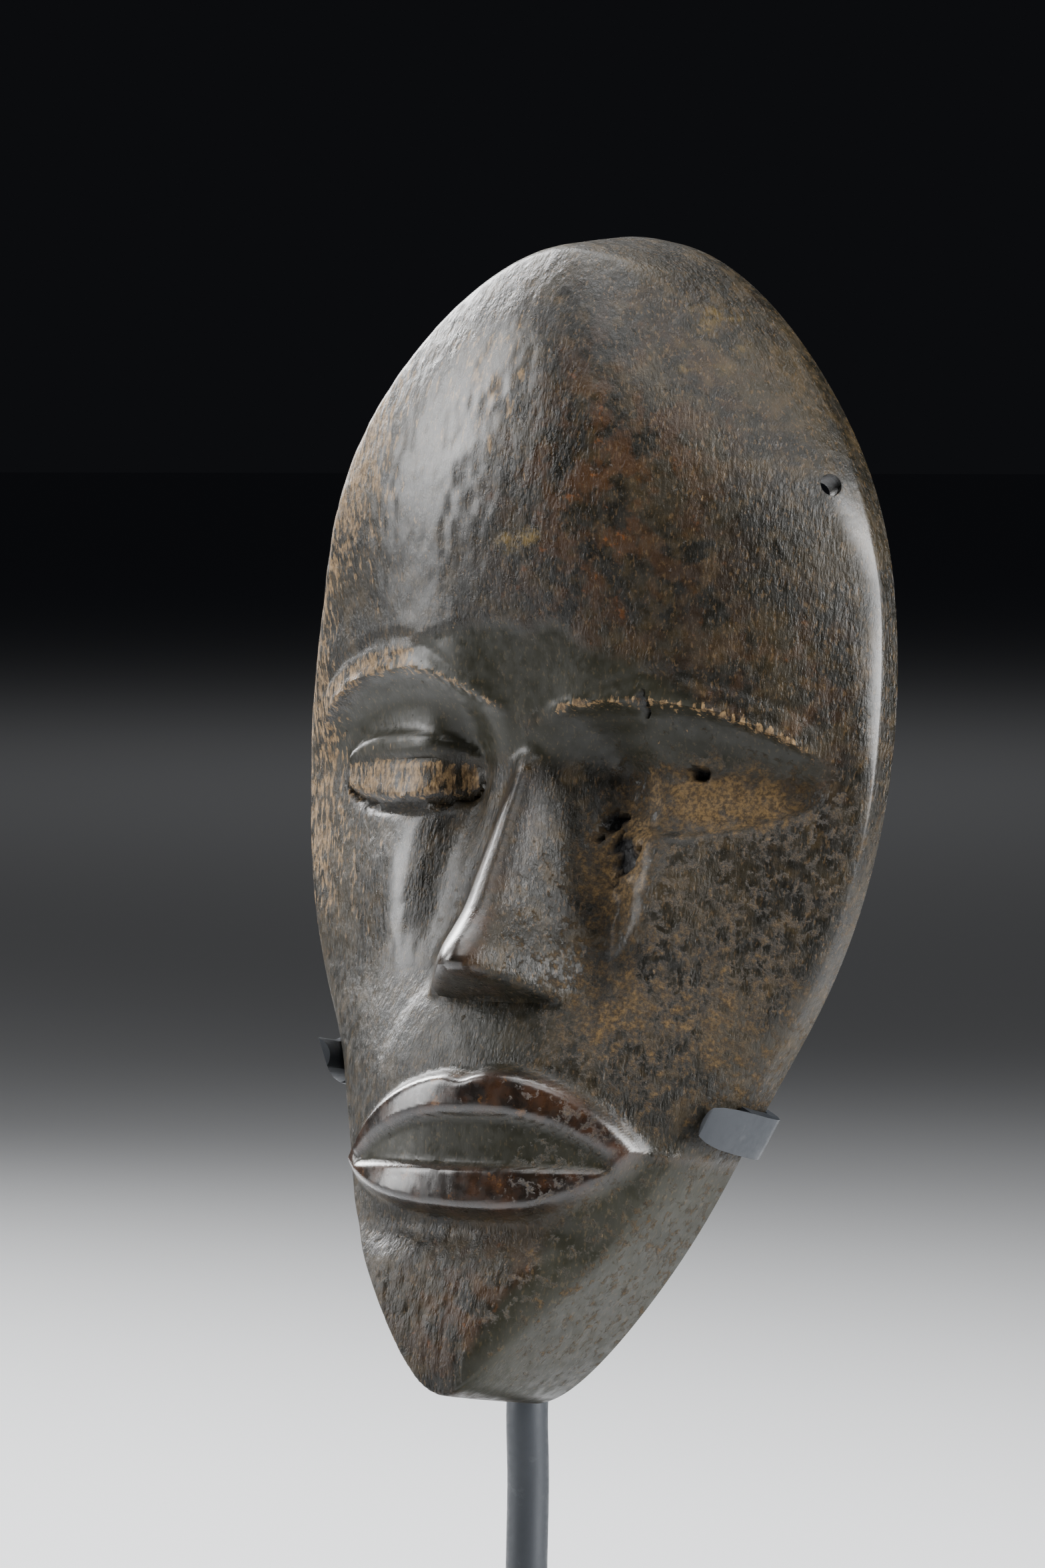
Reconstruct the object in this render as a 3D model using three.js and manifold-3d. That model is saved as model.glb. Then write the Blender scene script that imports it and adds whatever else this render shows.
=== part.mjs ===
// A small carved wooden face mask on its display stand.
// Millimetres, +Z up. The origin is the middle of the foot's underside, and the mask looks along -Y.
import * as THREE from 'three';
import { mergeVertices } from 'three/addons/utils/BufferGeometryUtils.js';
import Module from 'manifold-3d';

const wasm = await Module();
wasm.setup();

// Mask
const maskHeight = 168.5;
const maskWidth = 96;
const maskTilt = THREE.MathUtils.degToRad(11);
const chinLevel = 62;
const rimWall = 3;
const rimWidth = 6;
const hollowDepth = 18;
const cordHoleDiameter = 3.2;
const cordHoleLevel = 131;
const cordHoleTurn = THREE.MathUtils.degToRad(40);

// Stand
const clearance = 0.3;
const rodDiameter = 6;
const rodAside = 3;
const armWidth = 6.4;
const armThickness = 2;
const rightHookLevel = 40.8;
const leftHookLevel = 46.8;
const hookReach = 2.6;
const footSide = 76;
const footThickness = 8;
const footEdge = 1.2;
const socketDepth = 6;

// Fineness of the faceted surfaces
const faceColumns = 50;
const faceRows = 64;
const hollowColumns = 20;
const hollowRows = 26;
const outlineSteps = 180;
const rodSides = 14;
const rodSteps = 44;

// The carving is drawn for a mask 170 mm tall and follows the real height.
const carvingHeight = 170;
const carving = maskHeight / carvingHeight;

const { clamp } = THREE.MathUtils;

function softMin(a, b, blend) {
  const h = clamp(0.5 + (0.5 * (b - a)) / blend, 0, 1);
  return b + (a - b) * h - blend * h * (1 - h);
}

function softMax(a, b, blend) {
  return -softMin(-a, -b, blend);
}

// Rises smoothly from 0 at low to 1 at high; low may be the larger of the two.
function ramp(value, low, high) {
  const t = clamp((value - low) / (high - low), 0, 1);
  return t * t * (3 - 2 * t);
}

function bell(value, centre, width) {
  return Math.exp(-(((value - centre) / width) ** 2));
}

// A smooth curve through [place, value] stations.
function through(stations, place) {
  const last = stations.length - 1;
  const at = clamp(place, stations[0][0], stations[last][0]);
  let i = 0;
  while (i < last - 1 && at >= stations[i + 1][0]) i += 1;
  const slope = (j) => {
    const before = stations[Math.max(j - 1, 0)];
    const after = stations[Math.min(j + 1, last)];
    return (after[1] - before[1]) / (after[0] - before[0]);
  };
  const span = stations[i + 1][0] - stations[i][0];
  const t = (at - stations[i][0]) / span;
  const fromHere = (1 + 2 * t) * (1 - t) ** 2 * stations[i][1] + t * (1 - t) ** 2 * span * slope(i);
  const fromNext = t * t * (3 - 2 * t) * stations[i + 1][1] + t * t * (t - 1) * span * slope(i + 1);
  return fromHere + fromNext;
}

// Outline of the mask in its rim plane: an ellipse, fuller at the temples and drawn in at the jaw.
// Each change has a share of the width, a level and a spread.
const temples = [0.028, 135, 20];
const jaw = [0.045, 42, 16];

function halfWidth(z) {
  const q = clamp((2 * z) / maskHeight - 1, -1, 1);
  const fuller = temples[0] * bell(z / carving, temples[1], temples[2]);
  const thinner = jaw[0] * bell(z / carving, jaw[1], jaw[2]);
  return (maskWidth / 2) * Math.sqrt(1 - q * q) * (0.987 + 0.2 * q - 0.27 * q * q) * (1 + fuller - thinner);
}

const outline = [];
for (let i = 0; i <= outlineSteps; i += 1) {
  const z = (maskHeight / 2) * (1 - Math.cos((Math.PI * i) / outlineSteps));
  outline.push([halfWidth(z), z]);
}

function edgeDistance(x, z) {
  const px = Math.abs(x);
  let nearest = Infinity;
  for (let i = 0; i < outlineSteps; i += 1) {
    const [ax, az] = outline[i];
    const bx = outline[i + 1][0] - ax;
    const bz = outline[i + 1][1] - az;
    const t = clamp(((px - ax) * bx + (z - az) * bz) / (bx * bx + bz * bz), 0, 1);
    nearest = Math.min(nearest, Math.hypot(px - ax - t * bx, z - az - t * bz));
  }
  return nearest;
}

// Stations up the mask, from the chin (0) to the crown (170):
// how far the middle stands in front of the rim plane,
const middleDepth = [
  [0, 24], [8, 25.4], [17, 24.6], [25, 23.3], [34, 23.5], [44, 24.2], [52, 22.5], [62, 19], [75, 17.5],
  [88, 17], [95, 19.5], [105, 22.6], [116, 26], [128, 28.6], [140, 29], [152, 27], [162, 23], [170, 17],
];
// how square the cross-section is,
const squareness = [[0, 3.2], [22, 2.9], [38, 2.3], [60, 2], [90, 2.1], [130, 2.1], [170, 2.1]];
// what share of the middle's depth is left at the outline, at the viewer's left and right,
const leftShare = [
  [0, 1], [12, 0.97], [22, 0.8], [34, 0.5], [50, 0.27], [65, 0.16], [90, 0.13],
  [108, 0.3], [125, 0.5], [145, 0.62], [170, 0.75],
];
const rightShare = [
  [0, 0.72], [12, 0.64], [22, 0.58], [34, 0.44], [50, 0.27], [65, 0.22], [90, 0.24],
  [104, 0.2], [118, 0.14], [130, 0.18], [145, 0.13], [160, 0.12], [170, 0.3],
];
// how steep the bevel behind the outline is on either side,
const leftBevel = [
  [0, 9], [20, 8], [34, 5.5], [48, 2.6], [65, 1.6], [100, 1.55], [120, 2.1], [140, 2.9], [170, 3.4],
];
const rightBevel = [[0, 9], [20, 8], [34, 5.5], [48, 2.8], [65, 2.2], [130, 2.2], [150, 2.6], [170, 3.4]];
// and how softly the face rolls over into it.
const bevelBlend = [[0, 4.5], [20, 5.5], [34, 4], [60, 2], [170, 2.5]];
// The two sides pass into each other over this stretch of the middle.
const sideChange = [-12, 18];
// The chin's underside slopes down towards the front.
const chinDrop = 0.12;
const chinDropHeight = 14;

// The brows arch from the bridge of the nose to the temples; the one at the viewer's left is higher.
const browInner = 94.3;
const browRise = 6.2;
const browSpan = 42;
const leftLift = 2;
const browProud = 1.5;
const socketDrop = 1.4;

function browLine(x) {
  const reach = Math.abs(x);
  const arch = Math.sin((Math.PI * clamp(reach, 0, browSpan)) / browSpan);
  return browInner + browRise * Math.max(arch, 0) ** 0.75 - Math.sign(x) * leftLift * ramp(reach, 0, 22);
}

function brows(x, z, reach) {
  const over = z - browLine(x);
  const proud = browProud * ramp(reach, 2, 12) * ramp(reach, 46, 34) * ramp(over, -1, 0.4);
  const below = Math.max(-over, 0);
  const under = ramp(below, 0, 4) * bell(below, 4.5, 6) * ramp(reach, 3, 10) * ramp(reach, 44, 36);
  return proud * bell(Math.max(over, 0), 0, 8) - socketDrop * under;
}

// The hollows beside the nose are narrower on the viewer's left.
function cheeks(x, z, reach) {
  const innerEye = (x < 0 ? 4.2 : 3.2) * bell(reach, 12, x < 0 ? 3.8 : 5.5) * bell(z, 88, 8.5);
  const besideNose = (x < 0 ? 0.9 : 1.6) * bell(reach, 14, 4.5) * bell(z, 72, 12);
  const cheekRidge = (x < 0 ? 1.4 : 2.6) * bell(reach, 22.5, 6.5) * bell(z, 72, 11);
  return cheekRidge - innerEye - besideNose;
}

// Closed eyes. At the viewer's left a rounded upper lid lies over a flat block, with a groove below.
// The eye at the right has crumbled away to a shallow hollow over a rising lower edge.
const eyeLevel = 89.3;
const eyeMiddle = -23.9;
const eyeHalf = 13.7;
const eyeOpening = 5.5;
const crumbledDepth = 1.3;

function leftEye(x, z) {
  const along = (x - eyeMiddle) / eyeHalf;
  const opening = eyeOpening * Math.max(1 - along * along, 0) ** 0.4;
  const across = (z - eyeLevel) / Math.max(opening, 0.3);
  const lid = 1.2 * ramp(across, 1.05, 0.7) * ramp(across, 0.1, 0.4);
  const block = 0.9 * ramp(across, 0.35, 0.1) * ramp(across, -1, -0.7);
  const groove = 1.3 * bell(across, -1.05, 0.22);
  return ramp(1 - Math.abs(along), 0, 0.15) * (lid + block - groove);
}

function rightEye(x, z) {
  const shown = ramp(x, 9, 15) * ramp(x, 44, 38);
  const lowerEdge = 81 + 0.014 * Math.max(x - 20, 0) ** 2;
  const hollow = ramp(z, lowerEdge - 1.2, lowerEdge + 1.2) * ramp(z, 94, 89);
  const lid = 0.7 * bell(z, 91, 1.5) * ramp(x, 18, 26);
  return shown * (lid - crumbledDepth * hollow);
}

// The nose is a wedge: a straight rounded ridge from root to tip, flat flanks and a hollow underside.
const noseRoot = [89, 19.9];
const noseTip = [58.8, 31.4];
const noseUnderside = [56.2, 21];
const noseFlank = 1.65;
const noseEnd = 90;
const noseBall = [61.5, 5];

function nose(reach, z) {
  const below = noseRoot[0] - z;
  const ridgeSlope = (noseTip[1] - noseRoot[1]) / (noseRoot[0] - noseTip[0]);
  const ball = bell(z, ...noseBall);
  const ridge = noseRoot[1] + below * (below > 0 ? ridgeSlope : 0.15) + ball;
  const round = 1.6 + clamp(below, 0, 34) * 0.07 + 1.4 * ball;
  const flanks = ridge - noseFlank * (Math.hypot(reach, round) - round);
  const underside = noseUnderside[1] + (z - noseUnderside[0]) * 3.5;
  return softMin(flanks, underside, 3) - Math.max(z - noseEnd, 0) * 1.2;
}

// Full lips round a flat, closed mouth. Carved edges fall away over the width of the cut. The corner at the
// viewer's right is drawn up, the one at the left a little down.
const mouthHalf = 24.8;
const mouthLevel = 33.1;
const rightCorner = 3.4;
const leftCorner = -1;
const lipReach = 24.5;
const lipInsideReach = 20.5;
const upperLipHeight = 12.6;
const mouthHeight = 6.2;
const lowerLipHeight = 7.6;
const cut = 2.2;

function cornerLift(x, power) {
  return (x > 0 ? rightCorner : leftCorner) * clamp(Math.abs(x) / lipReach, 0, 1) ** power;
}

function upperLip(x) {
  const reach = Math.abs(x);
  const dip = 0.7 * bell(reach, 0, 2.2);
  const arch = upperLipHeight * (1 - clamp(reach / lipReach, 0, 1) ** 2.2) ** 0.85;
  return mouthLevel + arch - dip + cornerLift(x, 0.9);
}

function upperLipInside(x) {
  const arch = mouthHeight * (1 - clamp(Math.abs(x) / lipInsideReach, 0, 1) ** 2.2) ** 0.9;
  return mouthLevel + arch + 0.8 * cornerLift(x, 1);
}

function lowerLipInside(x) {
  return mouthLevel - 1.1 + 0.4 * cornerLift(x, 1);
}

function lowerLip(x) {
  const arch = lowerLipHeight * (1 - clamp(Math.abs(x) / lipReach, 0, 1) ** 2.4) ** 0.8;
  return mouthLevel - 0.4 - arch + cornerLift(x, 4);
}

// Distance above a line drawn on the face, square to the line.
function above(line, x, z) {
  const lean = line(x + 0.5) - line(x - 0.5);
  return (z - line(x)) / Math.hypot(1, lean);
}

function lips(x, z, reach) {
  const q = clamp(reach / lipReach, 0, 1);
  const inTop = ramp(-above(upperLip, x, z), -0.4 * cut, cut);
  const inBottom = ramp(above(lowerLip, x, z), -0.4 * cut, cut);
  const upper = ramp(above(upperLipInside, x, z), -0.6 * cut, 0.6 * cut) * inTop;
  const lower = ramp(-above(lowerLipInside, x, z), -0.6 * cut, 0.6 * cut) * inBottom;
  const inside = inTop * inBottom * ramp(mouthHalf - reach, 0, cut);
  const corner = ramp(reach, 19, 22) * inside;
  const band = Math.max(upper, lower, corner);
  const mouth = 1.3 * Math.max(inside - band, 0);
  const belowLip = 1.6 * bell(z, 23, 3) * ramp(reach, 24, 10);
  return 3.4 * band * (1 - 0.35 * q) + mouth - belowLip;
}

function muzzle(reach, z) {
  const edge = 14 + (57 - z) * 0.45;
  return 0.5 * ramp(edge - reach, -cut, cut) * ramp(z, 30, 38) * ramp(z, 60, 54);
}

function sideways(x, left, right) {
  return left + (right - left) * ramp(x, ...sideChange);
}

// How far the carved face stands in front of the rim plane.
function carvedFace(realX, realZ) {
  const x = realX / carving;
  const z = realZ / carving;
  const reach = Math.abs(x);
  const half = Math.max(halfWidth(clamp(realZ, 0.02 * maskHeight, 0.98 * maskHeight)) / carving, 10);
  const across = Math.min(reach / half, 1.2) ** through(squareness, z);
  const share = sideways(x, through(leftShare, z), through(rightShare, z));
  let depth = through(middleDepth, z) * (1 - (1 - share) * across);
  depth += brows(x, z, reach) + cheeks(x, z, reach) + leftEye(x, z) + rightEye(x, z);
  depth = softMax(depth, nose(reach, z), 1.5 + 2 * ramp(z, 80, 92));
  depth += muzzle(reach, z) + lips(x, z, reach);
  return depth * carving;
}

function maskSurface(x, z) {
  const inward = edgeDistance(x, z);
  const level = z / carving;
  const slope = sideways(x / carving, through(leftBevel, level), through(rightBevel, level));
  const rounded = softMin(carvedFace(x, z), rimWall + slope * inward, through(bevelBlend, level) * carving);
  return softMin(rounded, 9 * inward, 1);
}

// The hollow is shallow behind the eyes and deep behind the forehead and mouth.
const hollowShare = [
  [0, 0.3], [12, 0.5], [30, 0.72], [50, 0.66], [70, 0.44], [88, 0.36], [100, 0.55],
  [125, 1], [145, 1], [160, 0.7], [170, 0.3],
];

function hollowSurface(x, z) {
  const inward = edgeDistance(x, z) - rimWidth;
  const deep = hollowDepth * through(hollowShare, z / carving);
  const half = Math.max(halfWidth(z), 10 * carving);
  const bowl = deep * (1 - 0.75 * Math.min(Math.abs(x) / half, 1) ** 2.4);
  return softMin(bowl, 1.6 * inward, 2);
}

// Rows and columns crowd where the carving is fine: [share of the rows, height],
// and [share from the middle, reach].
const rowStations = [
  [0, 0], [0.03, 1.4], [0.12, 20], [0.49, 62], [0.58, 80], [0.77, 104], [0.96, 167.6], [1, 170],
];
const columnStations = [[0, 0], [0.3, 0.18], [0.6, 0.48], [0.8, 0.78], [0.92, 0.95], [1, 1]];

function rowPlace(share) {
  const level = through(rowStations, share) / carvingHeight;
  return (2 / Math.PI) * Math.asin(clamp(2 * level - 1, -1, 1));
}

function columnPlace(share) {
  const side = 2 * share - 1;
  const reach = clamp(through(columnStations, Math.abs(side)), 0, 1);
  return (2 / Math.PI) * Math.sign(side) * Math.asin(reach);
}

// Grid on the oval: a square grid rounded to a disc and stretched to the outline, drawn in by inset.
function ovalPoint(u, v, inset) {
  const squareX = u * Math.sqrt(1 - (v * v) / 2);
  const squareZ = v * Math.sqrt(1 - (u * u) / 2);
  const radius = Math.hypot(squareX, squareZ);
  const spread = radius > 1e-9 ? Math.sin((radius * Math.PI) / 2) / radius : Math.PI / 2;
  const discX = squareX * spread;
  const discZ = squareZ * spread;
  const z = (maskHeight / 2) * (1 + discZ);
  const x = Math.abs(discZ) < 1 - 1e-9 ? (halfWidth(z) * discX) / Math.sqrt(1 - discZ * discZ) : 0;
  const towardsMiddle = 1 - (inset * radius) / Math.max(Math.hypot(x, z - maskHeight / 2), 1e-9);
  return [x * towardsMiddle, maskHeight / 2 + (z - maskHeight / 2) * towardsMiddle];
}

// Closes a carved surface on the oval with a flat fan at the level of its back. A four-sided patch is split
// along the diagonal that lies closer to the carving, and at the outline towards the middle.
function ovalSolid(columns, rows, inset, backLevel, pointAt) {
  const points = [];
  const triangles = [];
  const index = (i, j) => j * (columns + 1) + i;
  const placeAt = (i, j) => ovalPoint(columnPlace(i / columns), rowPlace(j / rows), inset);
  for (let j = 0; j <= rows; j += 1) {
    for (let i = 0; i <= columns; i += 1) {
      const onEdge = i === 0 || j === 0 || i === columns || j === rows;
      const [x, z] = placeAt(i, j);
      points.push(onEdge ? [x, -backLevel, z] : pointAt(x, z));
    }
  }
  for (let j = 0; j < rows; j += 1) {
    for (let i = 0; i < columns; i += 1) {
      const corners = [index(i, j), index(i + 1, j), index(i + 1, j + 1), index(i, j + 1)];
      const nearEdge = Math.min(i, j, columns - 1 - i, rows - 1 - j) < 3;
      const middleY = pointAt(...placeAt(i + 0.5, j + 0.5))[1];
      const [first, second] = [0, 1].map((k) => {
        return Math.abs((points[corners[k]][1] + points[corners[k + 2]][1]) / 2 - middleY);
      });
      const lean = nearEdge ? (i * 2 < columns) !== (j * 2 < rows) : first < second;
      const [a, b, c, d] = lean ? corners : [...corners.slice(1), corners[0]];
      triangles.push([a, b, c], [a, c, d]);
    }
  }
  const ring = [];
  for (let i = 0; i < columns; i += 1) ring.push(index(i, 0));
  for (let j = 0; j < rows; j += 1) ring.push(index(columns, j));
  for (let i = columns; i > 0; i -= 1) ring.push(index(i, rows));
  for (let j = rows; j > 0; j -= 1) ring.push(index(0, j));
  const middle = points.push([0, -backLevel, maskHeight / 2]) - 1;
  ring.forEach((here, k) => {
    triangles.push([here, middle, ring[(k + 1) % ring.length]]);
  });
  return toSolid(points.flat(), triangles.flat());
}

function toSolid(places, corners) {
  const mesh = new wasm.Mesh({
    numProp: 3,
    vertProperties: new Float32Array(places),
    triVerts: new Uint32Array(corners),
  });
  return new wasm.Manifold(mesh);
}

function solidFrom(geometry) {
  const bare = geometry.clone();
  bare.deleteAttribute('normal');
  bare.deleteAttribute('uv');
  const merged = mergeVertices(bare, 1e-4);
  return toSolid(merged.attributes.position.array, merged.index.array);
}

function geometryFrom(solid) {
  const mesh = solid.getMesh();
  const geometry = new THREE.BufferGeometry();
  geometry.setAttribute('position', new THREE.BufferAttribute(mesh.vertProperties, 3));
  geometry.setIndex(new THREE.BufferAttribute(mesh.triVerts, 1));
  geometry.computeVertexNormals();
  return geometry;
}

// Mask: outer form, less the hollow, less a cord hole at each temple.
// A cord hole is bored square to the bevel into the hollow.
function cordHole(side) {
  const middle = halfWidth(cordHoleLevel) - rimWidth / 2;
  const length = 4 * rimWidth;
  const bore = new THREE.CylinderGeometry(cordHoleDiameter / 2, cordHoleDiameter / 2, length, 16);
  bore.rotateZ(side * cordHoleTurn);
  bore.translate(side * middle, -maskSurface(middle, cordHoleLevel), cordHoleLevel);
  return solidFrom(bore);
}

function frontPoint(x, z) {
  const depth = maskSurface(x, z);
  return [x, -depth, z - chinDrop * depth * ramp(z / carving, chinDropHeight, 0)];
}

const hollowOpening = clearance;
const hollowPoint = (x, z) => [x, -hollowSurface(x, z), z];
const maskSolid = ovalSolid(faceColumns, faceRows, 0, 0, frontPoint)
  .subtract(ovalSolid(hollowColumns, hollowRows, rimWidth, -hollowOpening, hollowPoint))
  .subtract(cordHole(1))
  .subtract(cordHole(-1));

// Arms: each strip lies behind the rim, turns forward round the jaw and lips over the face.
function outlineNormal(level) {
  const step = 0.5;
  const lean = (halfWidth(level + step) - halfWidth(level - step)) / (2 * step);
  const length = Math.hypot(1, lean);
  return [1 / length, -lean / length];
}

// The middle line of the strip, as [outward, forward] places from the outline.
function hookRoute(side, level, normal, root) {
  const half = armThickness / 2;
  const away = clearance + half;
  const route = [[-root, -away], [away, -away], [away, rimWall / 2]];
  const samples = 5;
  const heights = [];
  for (let i = 0; i <= samples; i += 1) {
    const inward = (hookReach * i) / samples;
    let highest = 0;
    for (const across of [-0.5, -0.25, 0, 0.25, 0.5]) {
      const x = halfWidth(level) - normal[0] * inward - normal[1] * across * armWidth;
      const z = level - normal[1] * inward + normal[0] * across * armWidth;
      highest = Math.max(highest, maskSurface(side * x, z));
    }
    heights.push([-inward, highest]);
  }
  for (let i = 1; i <= samples; i += 1) {
    const [s0, f0] = heights[i - 1];
    const [s1, f1] = heights[i];
    const length = Math.hypot(s1 - s0, f1 - f0);
    route.push([s1 + (away * (f1 - f0)) / length, f1 + (away * (s0 - s1)) / length]);
  }
  return route;
}

// Rounds the corners of a route and gives the outline of a strip that follows it.
function stripShape(route, thickness) {
  const curve = new THREE.CurvePath();
  const points = route.map(([s, f]) => new THREE.Vector2(s, f));
  let from = points[0];
  for (let i = 1; i < points.length - 1; i += 1) {
    const before = points[i].clone().lerp(points[i - 1], 0.5);
    const after = points[i].clone().lerp(points[i + 1], 0.5);
    const bend = Math.min(before.distanceTo(points[i]), after.distanceTo(points[i]), armThickness);
    const enter = points[i].clone().add(before.sub(points[i]).setLength(bend));
    const leave = points[i].clone().add(after.sub(points[i]).setLength(bend));
    curve.add(new THREE.LineCurve(from, enter));
    curve.add(new THREE.QuadraticBezierCurve(enter, points[i], leave));
    from = leave;
  }
  curve.add(new THREE.LineCurve(from, points[points.length - 1]));
  const line = [];
  for (const piece of curve.curves) {
    const steps = piece.isLineCurve ? 1 : 3;
    for (let i = 0; i < steps; i += 1) line.push(piece.getPoint(i / steps));
  }
  line.push(points[points.length - 1]);
  const sides = line.map((here, i) => {
    const before = line[Math.max(i - 1, 0)];
    const after = line[Math.min(i + 1, line.length - 1)];
    const along = after.clone().sub(before).normalize();
    const out = new THREE.Vector2(along.y, -along.x).multiplyScalar(thickness / 2);
    return [here.clone().add(out), here.clone().sub(out)];
  });
  return new THREE.Shape([...sides.map((pair) => pair[0]), ...sides.map((pair) => pair[1]).reverse()]);
}

function armSolid(side) {
  const level = side > 0 ? rightHookLevel : leftHookLevel;
  const [normalX, normalZ] = outlineNormal(level);
  const root = (halfWidth(level) + side * rodAside) / normalX;
  const route = hookRoute(side, level, [normalX, normalZ], root);
  const outlineOfStrip = stripShape(route, armThickness);
  const strip = new THREE.ExtrudeGeometry(outlineOfStrip, { depth: armWidth, bevelEnabled: false });
  strip.translate(0, 0, -armWidth / 2);
  const tipPlace = route[route.length - 1];
  const round = new THREE.CylinderGeometry(armWidth / 2, armWidth / 2, 4 * armWidth, 24);
  round.translate(tipPlace[0] + armWidth / 2, tipPlace[1], 0);
  const corner = new THREE.BoxGeometry(armWidth, 2 * armWidth, 2 * armWidth);
  corner.translate(tipPlace[0], tipPlace[1], 0);
  const cutter = solidFrom(corner).subtract(solidFrom(round));
  const shaped = geometryFrom(solidFrom(strip).subtract(cutter));
  const outward = new THREE.Vector3(side * normalX, 0, normalZ);
  const forward = new THREE.Vector3(0, -1, 0);
  const place = new THREE.Matrix4().makeBasis(outward, forward, outward.clone().cross(forward));
  place.setPosition(side * halfWidth(level), 0, level);
  shaped.applyMatrix4(place);
  shaped.deleteAttribute('normal');
  const mitre = new THREE.BoxGeometry(maskWidth, maskWidth, maskHeight);
  mitre.translate(-rodAside - side * (maskWidth / 2 - clearance / 2), 0, level + maskHeight / 4);
  return toSolid(shaped.attributes.position.array, shaped.index.array).subtract(solidFrom(mitre));
}

// From the mask's own frame to the stand's frame.
const maskFrame = new THREE.Matrix4()
  .makeRotationX(-maskTilt)
  .premultiply(new THREE.Matrix4().makeTranslation(rodAside, -rodDiameter / 2, chinLevel));

function behindMask(y, z) {
  return new THREE.Vector3(-rodAside, y, z).applyMatrix4(maskFrame);
}

// Rod: up from the foot with a slight sway, close behind the chin, then inside the hollow, where the arms
// cross its back, and forward to prop the forehead.
const rodRadius = rodDiameter / 2;
const behindRim = clearance + rodRadius;
const rodSway = 1;
const leanLevel = 0.52 * maskHeight;
const propLevel = 0.7 * maskHeight;

// Where an arm meets the rod.
function armLevel(level) {
  const [normalX, normalZ] = outlineNormal(level);
  return level - (normalZ / normalX) * halfWidth(level);
}

// How far forward the rod's middle may stand in the hollow. Its leaning end keeps a little more clear.
function hollowRoom(level) {
  return hollowSurface(rodAside, level) - clearance - rodRadius;
}
const propDepth = hollowRoom(propLevel) - 2 * clearance;

function rodRoute() {
  const bottom = footThickness - socketDepth + clearance;
  const points = [
    new THREE.Vector3(0, 0, bottom),
    new THREE.Vector3(0, 0, footThickness + rodDiameter),
    new THREE.Vector3(0, 0.6 * rodSway, chinLevel - 4 * rodDiameter),
    new THREE.Vector3(0, rodSway, chinLevel - 2 * rodDiameter),
    behindMask(behindRim + 2 * clearance, -clearance),
    behindMask(behindRim + clearance, rimWidth),
    behindMask(0, rimWidth + 3 * rodDiameter),
    behindMask(-rodRadius, armLevel(rightHookLevel) - 2 * armWidth),
    behindMask(-rodRadius, armLevel(leftHookLevel) + armWidth),
    behindMask(-Math.min(rodRadius, hollowRoom(leanLevel) - clearance), leanLevel),
    behindMask(-0.6 * propDepth, 0.5 * (leanLevel + propLevel)),
    behindMask(-propDepth, propLevel),
  ];
  return new THREE.CatmullRomCurve3(points, false, 'centripetal');
}

function rodGeometry() {
  const section = new THREE.Shape();
  for (let i = 0; i < rodSides; i += 1) {
    const turn = (2 * Math.PI * i) / rodSides;
    const x = rodRadius * Math.cos(turn);
    const y = rodRadius * Math.sin(turn);
    if (i === 0) section.moveTo(x, y);
    else section.lineTo(x, y);
  }
  const settings = { steps: rodSteps, extrudePath: rodRoute(), bevelEnabled: false };
  return new THREE.ExtrudeGeometry(section, settings);
}

// Foot: a square plate with eased edges and a blind hole for the rod.
function footSolid() {
  const half = footSide / 2 - footEdge;
  const square = new THREE.Shape();
  square.moveTo(-half, -half);
  square.lineTo(half, -half);
  square.lineTo(half, half);
  square.lineTo(-half, half);
  const plate = new THREE.ExtrudeGeometry(square, {
    depth: footThickness - 2 * footEdge,
    bevelThickness: footEdge,
    bevelSize: footEdge,
    bevelSegments: 2,
  });
  plate.translate(0, 0, footEdge);
  const socketRadius = rodRadius + clearance;
  const socket = new THREE.CylinderGeometry(socketRadius, socketRadius, 2 * socketDepth, 24);
  socket.rotateX(Math.PI / 2);
  socket.translate(0, 0, footThickness);
  return solidFrom(plate).subtract(solidFrom(socket));
}

const wood = new THREE.MeshStandardMaterial({ color: 0x3a2a1c, roughness: 0.42, metalness: 0 });
const paintedSteel = { color: 0x2b2e31, roughness: 0.5, metalness: 0.3 };

function piece(name, geometry, material) {
  const mesh = new THREE.Mesh(geometry, material);
  mesh.name = name;
  return mesh;
}

const maskAndArms = new THREE.Group();
maskAndArms.applyMatrix4(maskFrame);
maskAndArms.add(piece('mask', geometryFrom(maskSolid), wood));
maskAndArms.add(piece('right_arm', geometryFrom(armSolid(1)), new THREE.MeshStandardMaterial(paintedSteel)));
maskAndArms.add(piece('left_arm', geometryFrom(armSolid(-1)), new THREE.MeshStandardMaterial(paintedSteel)));

const object = new THREE.Group();
object.add(maskAndArms);
object.add(piece('rod', rodGeometry(), new THREE.MeshStandardMaterial(paintedSteel)));
object.add(piece('foot', geometryFrom(footSolid()), new THREE.MeshStandardMaterial(paintedSteel)));

export default object;
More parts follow.
